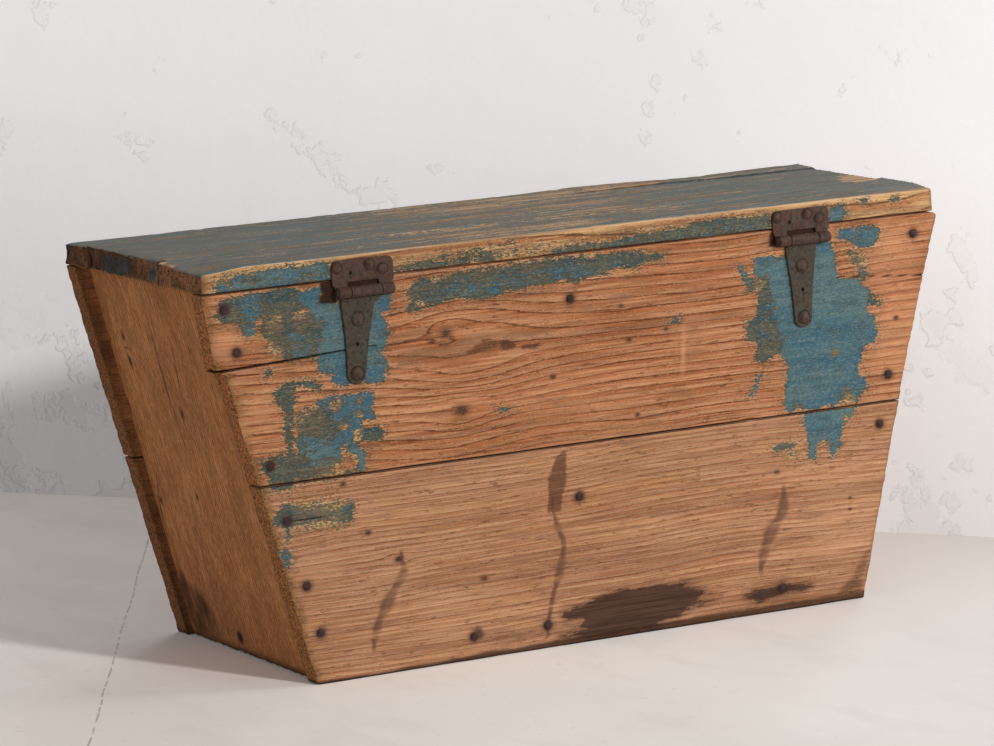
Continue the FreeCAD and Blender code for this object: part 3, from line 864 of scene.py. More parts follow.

# %% [markdown]
# ## What time left on the hinge side
#
# The outlines of the paint that is left, the dark water stains and the resin that bled out of
# the boards are drawn as image points and laid on the hinge side's face. Each outline of
# paint says how thin it is, from 0, still blue, to 1, gone to slate and olive, and a later one
# goes over an earlier one. A mark has only the points that its shape needs, because the finish
# roughens its edge.

# %% Paint round the left hinge
LEFT_PAINT = [
    (0.9, [(214, 319), (220, 304), (232, 298), (257, 292), (290, 286), (305, 291), (310, 300),
           (304, 311), (296, 318), (262, 319), (240, 325), (226, 323)]),
    (0.4, [(238, 299), (257, 294), (262, 304), (256, 324), (257, 336), (250, 340), (243, 334),
           (241, 325), (247, 315), (240, 310)]),
    (1.0, [(262, 314), (300, 312), (326, 314), (332, 336), (325, 345), (319, 356), (290, 362),
           (270, 352), (262, 338)]),
    (0.7, [(290, 333), (304, 331), (320, 336), (323, 346), (318, 356), (296, 360), (289, 352)]),
    (0.0, [(302, 291), (322, 287), (322, 302), (350, 303), (352, 345), (352, 384), (338, 388),
           (329, 380), (333, 376), (320, 373), (316, 362), (318, 354), (323, 340), (326, 330),
           (317, 320), (309, 311), (302, 300)]),
    (0.1, [(368, 300), (392, 291), (391, 311), (383, 314), (388, 328), (389, 340), (381, 352),
           (388, 361), (384, 382), (371, 386), (362, 378), (364, 335)]),
    (0.9, [(273, 391), (290, 381), (310, 378), (306, 386), (290, 390), (296, 400), (296, 412),
           (292, 426), (293, 440), (297, 458), (297, 478), (285, 483), (287, 455), (286, 438),
           (283, 428), (286, 418), (284, 408), (276, 399)]),
    (0.9, [(262, 461), (272, 459), (282, 454), (296, 458), (297, 483), (289, 491), (268, 492),
           (270, 478), (261, 470)]),
    (1.0, [(296, 414), (320, 404), (340, 410), (348, 430), (380, 424), (386, 434), (378, 441),
           (345, 445), (338, 470), (360, 470), (330, 481), (297, 483)]),
    (0.1, [(314, 403), (330, 395), (345, 396), (360, 391), (374, 391), (376, 400), (372, 408),
           (377, 420), (363, 421), (363, 431), (348, 441), (332, 446), (337, 434), (346, 428),
           (336, 421), (331, 411), (321, 409)]),
    (0.2, [(296, 441), (312, 437), (335, 443), (352, 441), (366, 452), (367, 468), (361, 473),
           (352, 456), (338, 446), (346, 460), (335, 467), (313, 466), (308, 453), (299, 452)]),
    (0.9, [(263, 370), (272, 369), (273, 376), (265, 377)]),
    (0.8, [(302, 380), (309, 379), (322, 385), (321, 391), (311, 391), (304, 387)])]

# %% Paint under the lid and round the right hinge
TOP_PAINT = [
    (0.95, [(404, 292), (412, 283), (422, 277), (470, 272), (520, 262), (560, 257), (600, 254),
            (640, 251), (666, 254), (664, 259), (650, 262), (638, 267), (615, 270), (600, 275),
            (575, 281), (555, 283), (530, 287), (508, 291), (500, 297), (480, 299), (458, 299),
            (440, 304), (425, 307), (420, 312), (407, 313), (409, 300)]),
    (0.65, [(432, 292), (450, 285), (500, 277), (540, 268), (600, 261), (620, 266), (598, 274),
            (560, 280), (520, 287), (498, 294), (470, 297), (450, 295), (438, 301)]),
    (0.2, [(671, 323), (676, 315), (681, 321)]),
    (0.4, [(498, 409), (510, 408), (509, 412), (499, 413)])]
RIGHT_PAINT = [
    (0.0, [(752, 259), (768, 256), (785, 256), (790, 253), (812, 243), (828, 238), (833, 243),
           (836, 262), (838, 277), (857, 277), (862, 284), (870, 291), (871, 307), (868, 309),
           (875, 318), (878, 330), (876, 342), (868, 345), (863, 350), (862, 362), (857, 368),
           (866, 378), (868, 384), (863, 390), (858, 401), (838, 406), (806, 411), (800, 404),
           (794, 412), (785, 412), (784, 400), (786, 385), (788, 368), (783, 358), (777, 353),
           (768, 361), (758, 361), (756, 345), (748, 337), (746, 322), (757, 316), (759, 300),
           (757, 285)]),
    (0.85, [(757, 285), (769, 278), (773, 300), (779, 330), (785, 350), (777, 355), (768, 362),
            (757, 362), (755, 345), (746, 337), (745, 322), (756, 316), (758, 300)]),
    (0.8, [(868, 294), (882, 300), (878, 305), (867, 308)]),
    (1.0, [(750, 279), (766, 276), (767, 290), (752, 291)]),
    (0.4, [(738, 264), (743, 263), (746, 270), (752, 280), (752, 291), (747, 294), (745, 284),
           (739, 272)]),
    (0.25, [(834, 234), (838, 230), (873, 226), (880, 228), (878, 240), (874, 248), (856, 247),
            (846, 241), (838, 239)]),
    (0.9, [(844, 244), (856, 252), (864, 256), (868, 266), (866, 282), (860, 284), (858, 270),
           (850, 258)]),
    (0.05, [(802, 412), (856, 405), (855, 412), (850, 420), (845, 421), (843, 428), (841, 442),
            (838, 452), (836, 457), (829, 456), (831, 444), (822, 442), (817, 448), (818, 458),
            (813, 462), (808, 456), (809, 445), (805, 430)]),
    (0.6, [(772, 449), (779, 443), (796, 442), (801, 444), (790, 450), (776, 452)]),
    (0.9, [(786, 452), (797, 450), (799, 457), (790, 459)]),
    (0.1, [(760, 367), (762, 375), (759, 390), (752, 398), (749, 396), (755, 384)])]
LOWER_PAINT = [
    (0.8, [(273, 518), (280, 512), (284, 504), (320, 500), (352, 501), (355, 505), (353, 520),
           (340, 526), (320, 528), (292, 528), (292, 544), (285, 545), (284, 528), (275, 524)]),
    (0.3, [(279, 553), (285, 550), (291, 551), (290, 564), (285, 569), (283, 560)])]
SIDE_PAINT = LEFT_PAINT + TOP_PAINT + RIGHT_PAINT + LOWER_PAINT

# %% Bare and worn places in it: image point, radius in mm, how worn
SIDE_WEAR = [(276, 326, 14, 0.62), (300, 322, 16, 0.55), (225, 340, 18, 0.9), (248, 352, 18, 0.8),
             (275, 347, 15, 0.5), (320, 324, 10, 0.4), (305, 370, 14, 0.7), (330, 368, 10, 0.25),
             (336, 405, 9, 0.95), (360, 401, 5, 0.95), (360, 414, 6, 0.8), (358, 435, 7, 0.95),
             (345, 450, 7, 0.95), (353, 460, 8, 0.95), (310, 420, 24, 0.5), (345, 425, 12, 0.42),
             (310, 446, 18, 0.3), (330, 478, 30, 0.52), (276, 465, 5, 0.8), (380, 333, 8, 0.3),
             (435, 280, 6, 0.8), (407, 295, 12, 0.45), (420, 303, 6, 0.9), (428, 288, 10, 0.35),
             (590, 257, 10, 0.45), (648, 256, 10, 0.4), (440, 278, 22, 0.3), (530, 262, 26, 0.35),
             (760, 284, 12, 0.5), (762, 345, 12, 0.35), (776, 309, 5, 0.5), (836, 352, 6, 0.97),
             (848, 396, 14, 0.62), (862, 372, 7, 0.6), (858, 262, 18, 0.42), (845, 241, 8, 0.4),
             (798, 409, 6, 0.5), (826, 443, 9, 0.4), (846, 417, 6, 0.6), (320, 506, 40, 0.6),
             (290, 536, 12, 0.35), (790, 447, 12, 0.3), (794, 455, 10, 0.5), (822, 370, 8, 0.25)]

# %% Stains, resin and splits
STAINS = [[(562, 612), (585, 605), (597, 595), (616, 589), (658, 583), (683, 584), (704, 589),
           (698, 597), (721, 599), (692, 608), (669, 620), (654, 628), (616, 635), (558, 639),
           (585, 628), (583, 620), (564, 618)],
          [(744, 597), (759, 589), (784, 582), (811, 585), (801, 591), (778, 597), (759, 601)]]
TINTS = [[(398, 352), (430, 349), (446, 343), (470, 339), (488, 338), (503, 341), (516, 346), (503, 350),
          (488, 357), (470, 363), (452, 366), (430, 365), (398, 366)],
         [(480, 630), (500, 627), (520, 630), (530, 640), (505, 646), (480, 642)]]
RESIN_LENS = [[(548, 512), (549, 480), (556, 458), (567, 449), (566, 480), (561, 512)],
              [(503, 341), (509, 339), (517, 346), (508, 350), (500, 348)],
              [(521, 345), (540, 343), (538, 349), (522, 350)]]
VEINS = [([(553, 505), (556, 524), (566, 542), (561, 566), (555, 590), (550, 612), (548, 628)], 9.0),
         ([(402, 560), (406, 570), (391, 595), (380, 620), (374, 642)], 16.0),
         ([(784, 492), (783, 514), (771, 530), (765, 548), (761, 566)], 20.0)]
CORNER_DIRT = [[(869, 550), (864, 575), (861, 594), (836, 597), (842, 588), (852, 578), (858, 564)]]
PALE_LINES = [[(683, 300), (684, 375)], [(906, 274), (893, 300)], [(884, 300), (905, 318)]]
PALE_SPOTS = [(905, 330, 60, 0.4), (890, 265, 45, 0.35), (845, 520, 50, 0.25), (226, 345, 20, 0.5),
              (236, 432, 18, 0.5), (262, 405, 18, 0.35), (560, 420, 60, 0.15), (320, 570, 30, 0.2),
              (690, 330, 30, 0.2), (760, 420, 30, 0.2), (268, 300, 10, 0.3)]
# the last two spots are painted shade on the wood behind the straps' spare holes
DARK_SPOTS = [(548, 626, 6, 0.9), (478, 634, 9, 0.7), (399, 559, 4, 0.6), (357, 344, 4, 1.0),
              (803, 289, 4, 1.0)]
LONG_SPLIT = [(200, 376), (310, 357), (345, 350), (385, 344)]
RIGHT_SPLIT = [(838, 277), (930, 275)]
NAIL_SPLIT = [(252, 521), (268, 524), (325, 517)]
LEFT_IMPRINT = [(321, 281), (336, 278), (337, 303), (321, 304)]
RIGHT_IMPRINT = [(769, 233), (783, 231), (787, 247), (770, 247)]


def on_hinge_face(pixels):
    """Image points as (x, z) on the hinge side's face."""
    return on_plane(pixels, (0, HINGE_FACE, 0), (0, 1, 0))[:, [0, 2]]


def deepest(flat, outlines, place):
    """How far points lie inside the nearest of some image outlines, in mm."""
    return np.max([within(flat, place(outline)) for outline in outlines], axis=0) / MM


def at_least(found, key, value):
    """Raises an attribute to value wherever it is lower."""
    found[key] = np.maximum(found[key], value)


def lay_paint(found, flat, rows, place):
    """Distance inside the paint's outlines, and its thinness from the last outline there."""
    for thinness, outline in rows:
        inside = within(flat, place(outline)) / MM
        at_least(found, "paint", inside)
        found["thin"] += (thinness - found["thin"]) * smooth(inside, -2.5, 1.5)


def lay_spots(found, key, flat, rows, place):
    """Soft round spots: image point, radius in mm and how much."""
    for x, y, radius, amount in rows:
        distance = np.linalg.norm(flat - place([(x, y)])[0], axis=1) / (radius * MM)
        at_least(found, key, amount * (1 - smooth(distance, 0.45, 1.2)))


def rounded(line, count=26, passes=5):
    """A line of straight runs with its corners rounded off."""
    walked = np.concatenate([[0], np.cumsum(np.linalg.norm(np.diff(line, axis=0), axis=1))])
    at = np.linspace(0, walked[-1], count)
    dense = np.column_stack([np.interp(at, walked, column) for column in line.T])
    for _ in range(passes):
        dense[1:-1] = (dense[:-2] + 2 * dense[1:-1] + dense[2:]) / 4
    return dense


def lay_veins(found, flat, rows, place):
    """Signed distance from the nearest vein, its half width, and how far off it is, in mm."""
    for pixels, width in rows:
        line = rounded(place(pixels))
        line = line[np.argsort(line[:, 1])]
        distance, along = from_line(flat, line)
        side = flat[:, 0] - np.interp(flat[:, 1], line[:, 1], line[:, 0])
        half_width = width * (0.12 + 0.38 * np.sin(np.pi * along) * (0.7 + 0.3 * np.sin(along * 17)))
        row = np.column_stack([side / MM, half_width, distance / MM])
        nearer = row[:, 2] < found["vein"][:, 2]
        found["vein"][nearer] = row[nearer]


print("left paint reaches x", max(on_hinge_face(o)[:, 0].max() for _, o in LEFT_PAINT).round(3))

# %% [markdown]
# ## The hinge side's two boards
#
# The upper board has wide, wandering years and stands proud in ridges; the lower board is finer.
# Both have the slope of the chest at their ends. The upper board is split from its left end,
# where the wood above the split stands out further than the wood below.

# %% Nails, by node
NAIL_INSET = 21 * MM
LEFT_NAIL_Z = [z * MM for z in (399, 354, 234, 175, 105, 54)]
RIGHT_NAIL_Z = [z * MM for z in (394, 243, 190)]
OPENING_NAIL_Z = [z * MM for z in (394, 300, 238, 165, 60)]
CLEAT_X = -16 * MM
CLEAT_NAIL_Z = [z * MM for z in (368, 157)]
BOTTOM_NAIL_X = [x * MM for x in (-149, -61, 229)]
BOTTOM_NAIL_Z = 25 * MM
END_NAIL = (25 * MM, 19 * MM)

CLEAT_NAILS = [(CLEAT_X, z) for z in CLEAT_NAIL_Z]
BOTTOM_NAILS = [(x, BOTTOM_NAIL_Z) for x in BOTTOM_NAIL_X]
HINGE_NAILS = ([(NAIL_INSET - side_x(z), z) for z in LEFT_NAIL_Z]
               + [(side_x(z) - NAIL_INSET, z) for z in RIGHT_NAIL_Z] + CLEAT_NAILS + BOTTOM_NAILS)
OPENING_NAILS = ([(s * (side_x(z) - NAIL_INSET), z) for s in (-1, 1) for z in OPENING_NAIL_Z]
                 + CLEAT_NAILS + BOTTOM_NAILS)
print(len(HINGE_NAILS), "nails in the hinge side,", len(OPENING_NAILS), "in the opening side")

# %% Marks on the hinge side
HINGE_X = (-258 * MM, 269 * MM)
HINGE_Z = 408 * MM
SPLIT_Z = 334 * MM
SPLITS = [(LONG_SPLIT, 1.5, 9.0, 0.15), (RIGHT_SPLIT[::-1], 0.7, 2.5, 0.4), (NAIL_SPLIT, 0.8, 1.6, 0.3)]


def nail_halo(found, flat, nails, reach=7.5 * MM):
    for nail in nails:
        distance = np.linalg.norm(flat - np.array(nail), axis=1)
        at_least(found, "iron", np.exp(-(distance / reach) ** 2) * 0.95)


def carve(found, flat, pixels, half_width, depth, tip):
    """A crack along image points, depth mm deep, with painted shade near black inside it; it narrows to
    tip of its width.
    """
    distance, along = from_line(flat, on_hinge_face(pixels))
    width = half_width * MM * (1 - (1 - tip) * along)
    groove = 1 - smooth(distance, width * 0.35, width * 1.3)
    at_least(found, "split", groove)
    return groove * depth


def dark_joint_and_foot_shadow(found, z, levels, where, reach=1.7 * MM):
    """Black grime in the joint beside another board, on the faces that where picks; at level nought,
    along the floor, it is a painted contact shadow.
    """
    for level in levels:
        black = 0.95 * where * (1 - smooth(np.abs(z - level), 0.6 * MM, reach))
        at_least(found, "split", black)


def hinge_side_marks(found, points, normals):
    flat = points[:, [0, 2]]
    front = smooth(-normals[:, 1], 0.15, 0.6)
    lay_paint(found, flat, SIDE_PAINT, on_hinge_face)
    found["paint"] = np.where(front > 0.3, found["paint"], np.minimum(found["paint"], -20))
    lay_spots(found, "worn", flat, SIDE_WEAR, on_hinge_face)
    at_least(found, "worn", 0.08)
    for key, outlines in (("stain", STAINS), ("tint", TINTS), ("resin", RESIN_LENS)):
        found[key] = deepest(flat, outlines, on_hinge_face)
    lay_veins(found, flat, VEINS, on_hinge_face)
    # darker towards the bottom, in a band that is deeper and darker from the middle rightwards
    band_weight = smooth(flat[:, 0], -0.28, -0.02)
    found["dirt"] = (0.9 + 0.6 * band_weight) * (1 - smooth(flat[:, 1], 1 * MM, (7 + 6 * band_weight) * MM))
    # dark spots; the last two are painted shade behind the straps' spare holes
    lay_spots(found, "iron", flat, DARK_SPOTS, on_hinge_face)
    imprint = deepest(flat, [LEFT_IMPRINT, RIGHT_IMPRINT], on_hinge_face)
    at_least(found, "dirt", 1.3 * front * smooth(imprint, -1.0, 1.0))
    found["split"] = 0.6 * front * smooth(imprint, -0.5, 1.5)
    nail_halo(found, flat, HINGE_NAILS)
    found["iron"] *= front
    dark_joint_and_foot_shadow(found, flat[:, 1], (LOWER_HI.z, UPPER_LO.z, BOX_TOP), front)
    # painted contact shadow: a near-black line along the foot, where the board meets the floor
    dark_joint_and_foot_shadow(found, flat[:, 1], (0.0,), front, 3 * MM)
    corner = 0.6 * smooth(deepest(flat, CORNER_DIRT, on_hinge_face), -7, 4)
    at_least(found, "dirt", corner)
    lay_spots(found, "pale", flat, PALE_SPOTS, on_hinge_face)
    for line in PALE_LINES:
        distance, _ = from_line(flat, on_hinge_face(line))
        at_least(found, "pale", 0.8 * (1 - smooth(distance, 0.4 * MM, 1.6 * MM)))
    # painted shade: near black on the board behind each hinge's knuckles and slot
    for x in HINGE_X:
        behind = np.maximum(np.abs(flat[:, 0] - x) / (22 * MM),
                            np.abs(flat[:, 1] - HINGE_Z) / (11 * MM))
        at_least(found, "split", 0.9 * front * (1 - smooth(behind, 0.85, 1.1)))
    depth = sum(carve(found, flat, *split) for split in SPLITS)
    return depth + smooth(found["resin"], -1, 1) * front


# %% The upper board
SPLIT_STEP = 9.5 * MM
RIGHT_PROUD = 5.5 * MM
CORNER_WORN = 3.5 * MM
UPPER_KNOTS = [(446, 333, 5, 1.6), (470, 350, 14, 0.95), (461, 411, 6, 1.0), (576, 282, 2.6, 0.6),
               (621, 306, 2.4, 0.3), (629, 340, 2.6, 0.3), (666, 329, 2.2, 0.3), (638, 415, 2.2, 0.3),
               (502, 292, 2.4, 0.2), (553, 377, 2.5, 0.2), (776, 309, 2.2, 0.2), (896, 318, 2.4, 0.2)]


def face_knots(rows):
    """Knots given as image point, radius in mm and swell, as places on the hinge face."""
    return [(*on_hinge_face([(x, y)])[0], radius * MM, swell) for x, y, radius, swell in rows]


def upper_shift(points):
    """The left end stands out above its crack, the right end at the top, and its corner is worn."""
    x, _, z = points.T
    above = smooth(z, SPLIT_Z - 1.0 * MM, SPLIT_Z + 0.4 * MM)
    rise = np.clip((BOX_TOP - z) / (BOX_TOP - SPLIT_Z), 0, 1)
    near = np.clip(1 - (x + side_x(z)) / 0.11, 0, 1)
    right = RIGHT_PROUD * smooth(z, 0.23, BOX_TOP) * smooth(x, 0.30, 0.44)
    corner = -CORNER_WORN * smooth(x - side_x(z), -9 * MM, 0) ** 2 * smooth(z, BOX_TOP - 0.02, BOX_TOP)
    return np.column_stack([right - SPLIT_STEP * above * rise * near, 0 * x, corner])


def side_corners(z0, z1, y0, y1):
    """Corners of a side board: along X, up Z, through Y."""
    return np.array([[[(s * side_x(z), y, z) for y in (y0, y1)] for z in (z0, z1)] for s in (-1, 1)])


# %% Both boards of the hinge side
board("hinge_side_upper_board", "box", SIDE_PINE,
      side_corners(UPPER_LO.z, UPPER_HI.z, HINGE_FACE, HINGE_INNER), (4.6, 1.7, 4.2),
      pitch=10.0, lean=0.5, wander=0.016, knots=face_knots(UPPER_KNOTS), seed=3,
      arris=(0.6, 2.0), ridge=0.55, marks=hinge_side_marks, shift=upper_shift,
      fine=((), ((115 * MM, 134 * MM, 0.8 * MM),), ()))
LOWER_KNOTS = [(343, 484, 2.6, 0.3), (368, 533, 2.4, 0.3), (484, 578, 3.2, 0.3), (777, 472, 2.6, 0.3),
               (850, 498, 1.6, 0.4), (850, 509, 1.8, 0.4), (399, 559, 3.4, 0.9)]
board("hinge_side_lower_board", "box", LOWER_PINE,
      side_corners(LOWER_LO.z, LOWER_HI.z, HINGE_FACE, HINGE_INNER), (4.6, 1.5, 4.2),
      pitch=5.4, lean=0.4, wander=0.009, knots=face_knots(LOWER_KNOTS), seed=8,
      arris=(0.7, 2.6), ridge=0.22, marks=hinge_side_marks)

# %% [markdown]
# ## The opening side
#
# The far side is built like the hinge side, with its seam a little lower. Nothing is known of
# its face, so it has scraped pine, a little darker, with a few rests of paint.

# %% Opening side
OPENING_SEAM = OPEN_LO.z
OPENING_PAINT = [((-0.30, 0.36), 0.10, 0.03), ((0.12, 0.385), 0.16, 0.018), ((0.33, 0.31), 0.05, 0.06),
                 ((-0.02, 0.24), 0.05, 0.012)]


def opening_marks(found, points, normals):
    flat = points[:, [0, 2]]
    back = smooth(normals[:, 1], 0.15, 0.6)
    drift = np.column_stack([noise(points, (13, 16, 22), seed, 3) for seed in (201, 202)])
    for middle, reach_x, reach_z in OPENING_PAINT:
        off = (flat + drift * (0.07, 0.035) - np.array(middle)) / np.array([reach_x, reach_z])
        at_least(found, "paint", (1 - np.linalg.norm(off, axis=1)) * reach_z / MM)
    found["paint"] = np.where(back > 0.3, found["paint"], -FAR)
    found["worn"] += 0.3 + 0.3 * drift[:, 0]
    found["thin"] += drift[:, 1]
    # darker towards the bottom
    found["dirt"] = 0.9 * (1 - smooth(flat[:, 1], 0.0, 14 * MM))
    outside = smooth(np.abs(flat[:, 0]) - end_x(flat[:, 1]), -2 * MM, 1 * MM) * (normals[:, 1] < -0.6)
    grimy = 0.42 + 0.5 * noise(points, (14, 14, 14), 37, 3)
    at_least(found, "dirt", outside * grimy)
    nail_halo(found, flat, OPENING_NAILS)
    found["iron"] *= back
    dark_joint_and_foot_shadow(found, flat[:, 1], (OPENING_SEAM, BOX_TOP), np.abs(normals[:, 1]) > 0.6)
    return np.zeros(len(flat))


for node, z0, z1, pitch, seed in (
        ("opening_side_upper_board", OPENING_SEAM, BOX_TOP, 9.5, 14),
        ("opening_side_lower_board", 0.0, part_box("opening_side_lower_board")[1].z, 7.5, 19)):
    board(node, "box",
          OPENING_PINE, side_corners(z0, z1, OPENING_INNER, OPENING_FACE),
          (5.5, 2.4, 4.2), pitch=pitch, lean=-0.4, wander=0.014,
          knots=((0.11, z0 + 0.08, 0.011, 0.8), (-0.24, z0 + 0.13, 0.008, 0.8)), seed=seed,
          arris=(0.8, 2.8), ridge=0.4, marks=opening_marks, chew=0.45)

# %% [markdown]
# ## The end boards
#
# Each end is one wide board with its grain running up the slope, set in behind the ends of the
# long sides. It has fine lines, a few dark streaks in the middle and a stain low down.

# %% End boards
END_VEINS = [([(150, 330), (158, 360), (168, 395), (183, 440)], 2.6), ([(171, 345), (180, 392)], 1.6),
             ([(155, 470), (160, 505), (168, 540)], 2.0)]
END_KNOTS = [(123, 336, 3.5), (130, 361, 4), (182, 414, 4), (161, 500, 3), (197, 497, 3), (240, 638, 4)]
END_STAIN = [[(182, 575), (196, 590), (212, 612), (222, 636), (205, 636), (188, 622), (178, 600)]]
END_TINT = [[(165, 560), (200, 572), (232, 618), (228, 650), (190, 634), (168, 590)]]
END_RUN = math.hypot(1, END_SLOPE)      # length up the slope for each metre of height


def on_end_face(pixels):
    """Image points on the left end's outer face, as (y, distance up the slope)."""
    normal = np.array([1.0, 0.0, END_SLOPE])
    found = on_plane(pixels, (-END_BOTTOM_HALF, 0, 0), normal)
    return np.column_stack([found[:, 1], found[:, 2] * END_RUN])


def end_marks(found, points, normals):
    flat = np.column_stack([points[:, 1], points[:, 2] * END_RUN])
    outer = np.abs(points[:, 0]) - end_x(points[:, 2]) + END_LEVEL_T / 2 > 0
    lay_veins(found, flat, END_VEINS, on_end_face)
    found["vein"] = np.where(outer[:, None], found["vein"], FAR)
    grime = 0.75 * smooth(deepest(flat, END_STAIN, on_end_face), -16, 8)
    grime = np.maximum(grime, 0.18 * smooth(deepest(flat, END_TINT, on_end_face), -14, 14))
    # darker in the stains, and towards the foot
    found["dirt"] = np.maximum(outer * grime, 0.8 * (1 - smooth(flat[:, 1], 0.0, 12 * MM)))
    nail_halo(found, flat, [END_NAIL])
    dark_joint_and_foot_shadow(found, flat[:, 1], (BOX_TOP * END_RUN,), np.abs(normals[:, 0]) > 0.6)
    return np.zeros(len(flat))


slope_start = END_SLOPE * END_BOTTOM_HALF / END_RUN
end_spots = on_end_face([knot[:2] for knot in END_KNOTS])
end_knots = [(up + slope_start, y, radius * MM, 0.8)
             for (y, up), (_, _, radius) in zip(end_spots, END_KNOTS)]
for side, sign in (("left", -1), ("right", 1)):
    node = side + "_end_board"
    corners = np.array([[[(sign * (end_x(z) - inset), y, z) for inset in (0, END_LEVEL_T)]
                         for y in (HINGE_INNER, OPENING_INNER)] for z in (0.0, BOX_TOP)])
    board(node, "box", END_PINE, corners, (4.2, 2.2, 4.2),
          pitch=5.2, lean=0.3, wander=0.010, knots=end_knots, seed=23 if sign < 0 else 29,
          arris=(0.5, 1.8), ridge=0.2, marks=end_marks)

# %% [markdown]
# ## The lid
#
# Three boards make the lid. Its paint has weathered grey, with long streaks worn down to the
# wood, and its front edge is scraped to yellow wood along the arris. The right end has bowed up
# a few millimetres, its back part stands proud by a step, and the left end is worn down in front.

# %% Paint on the lid
EDGE_PAINT = [
    (0.35, [(212, 292), (217, 283), (224, 276), (236, 272), (262, 268), (300, 265), (322, 262),
            (330, 264), (330, 283), (300, 286), (285, 288), (262, 290), (240, 291), (222, 294)]),
    (0.95, [(394, 268), (430, 260), (470, 255), (518, 249), (521, 257), (470, 264), (430, 270),
            (393, 277)]),
    (1.0, [(440, 255), (480, 249), (516, 243), (517, 246), (480, 252), (442, 258)]),
    (0.9, [(526, 249), (537, 246), (539, 257), (528, 259)]),
    (0.8, [(543, 253), (560, 248), (600, 241), (640, 234), (690, 225), (700, 240), (600, 253),
           (545, 259)]),
    (0.8, [(690, 223), (730, 217), (771, 213), (771, 234), (730, 239), (692, 243)]),
    (0.2, [(826, 208), (843, 204), (846, 212), (842, 222), (828, 225)]),
    (0.7, [(858, 198), (870, 197), (869, 203), (858, 204)]),
    (0.7, [(890, 198), (900, 197), (899, 203), (890, 203)])]
EDGE_WEAR = [(228, 280, 10, 0.55), (250, 270, 12, 0.4), (400, 258, 14, 0.4), (532, 254, 10, 0.7),
             (455, 262, 16, 0.3), (505, 258, 18, 0.35), (600, 247, 20, 0.35), (560, 252, 12, 0.2),
             (650, 240, 20, 0.3)]
# painted shade on the lid's edge behind the leaves' spare holes
LID_HOLE_SHADE = [(350, 273, 4, 1.0), (789, 222, 4, 1.0)]
LEFT_END_PAINT = [[(98, 254), (126, 260), (129, 272), (121, 278), (104, 273)],
                  [(62, 242), (71, 244), (70, 262)], [(145, 267), (156, 270), (154, 281),
                   (148, 280)]]
TOP_BARE = [[(838, 182), (850, 177), (872, 177), (881, 181), (868, 186), (846, 187)],
            [(596, 190), (640, 186), (664, 184), (640, 189), (600, 193)],
            [(158, 263), (168, 258), (178, 262), (180, 270), (168, 270)]]
STEP_X, STEP_Y = np.array([(165, 258, 318, 378, 446), (106, 99, 86, 80, 77)]) * MM
LID_HALF = 440 * MM
LID_JOINTS = [corner.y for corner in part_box("lid_middle_board")]
BACK_FALL, LEFT_WORN, STEP_HEIGHT, END_CHEWED = 1.8 * MM, 4.0 * MM, 1.5 * MM, 4.5       # the last in mm
LID_RISE_D = (0, 5, 34, 98, 103, 110, 240, 283, 287, 348)
LID_RISE = (0.5, 0.5, 4.6, 4.8, 0.6, 1.4, 2.0, 3.4, -0.5, -5.0)


def step_line(x):
    """Where the lid's back part begins to stand proud, towards the right end."""
    return np.interp(x, STEP_X, STEP_Y)


def lid_shift(points):
    """Bowed up at the right end with a step, low along the back, worn down at the left in front."""
    x, y, z = points.T
    high = np.clip((z - BOX_TOP) / (LID_TOP - BOX_TOP), 0, 1)
    bow = np.interp((y - HINGE_FACE) / MM, LID_RISE_D, LID_RISE) * MM * smooth(x, 0.16, 0.44)
    fall = -BACK_FALL * smooth(y, OPENING_FACE - 0.05, OPENING_FACE)
    worn = 1 - smooth(y, HINGE_FACE + 0.02, HINGE_FACE + 0.11)
    worn *= -LEFT_WORN * (1 - smooth(x, -0.44, -0.385))
    step = STEP_HEIGHT * smooth(y - step_line(x), -1.2 * MM, 1.2 * MM) * smooth(x, 0.12, 0.2)
    return np.column_stack([0 * x, 0 * x, high * (bow + fall + worn + step)])


def on_left_end(pixels):
    """Image points as (y, z) on the lid's left end."""
    return on_plane(pixels, (-LID_HALF, 0, 0), (1, 0, 0))[:, [1, 2]]


def on_lid_top(pixels):
    return on_plane(pixels, (0, 0, LID_TOP), (0, 0, 1))[:, [0, 1]]


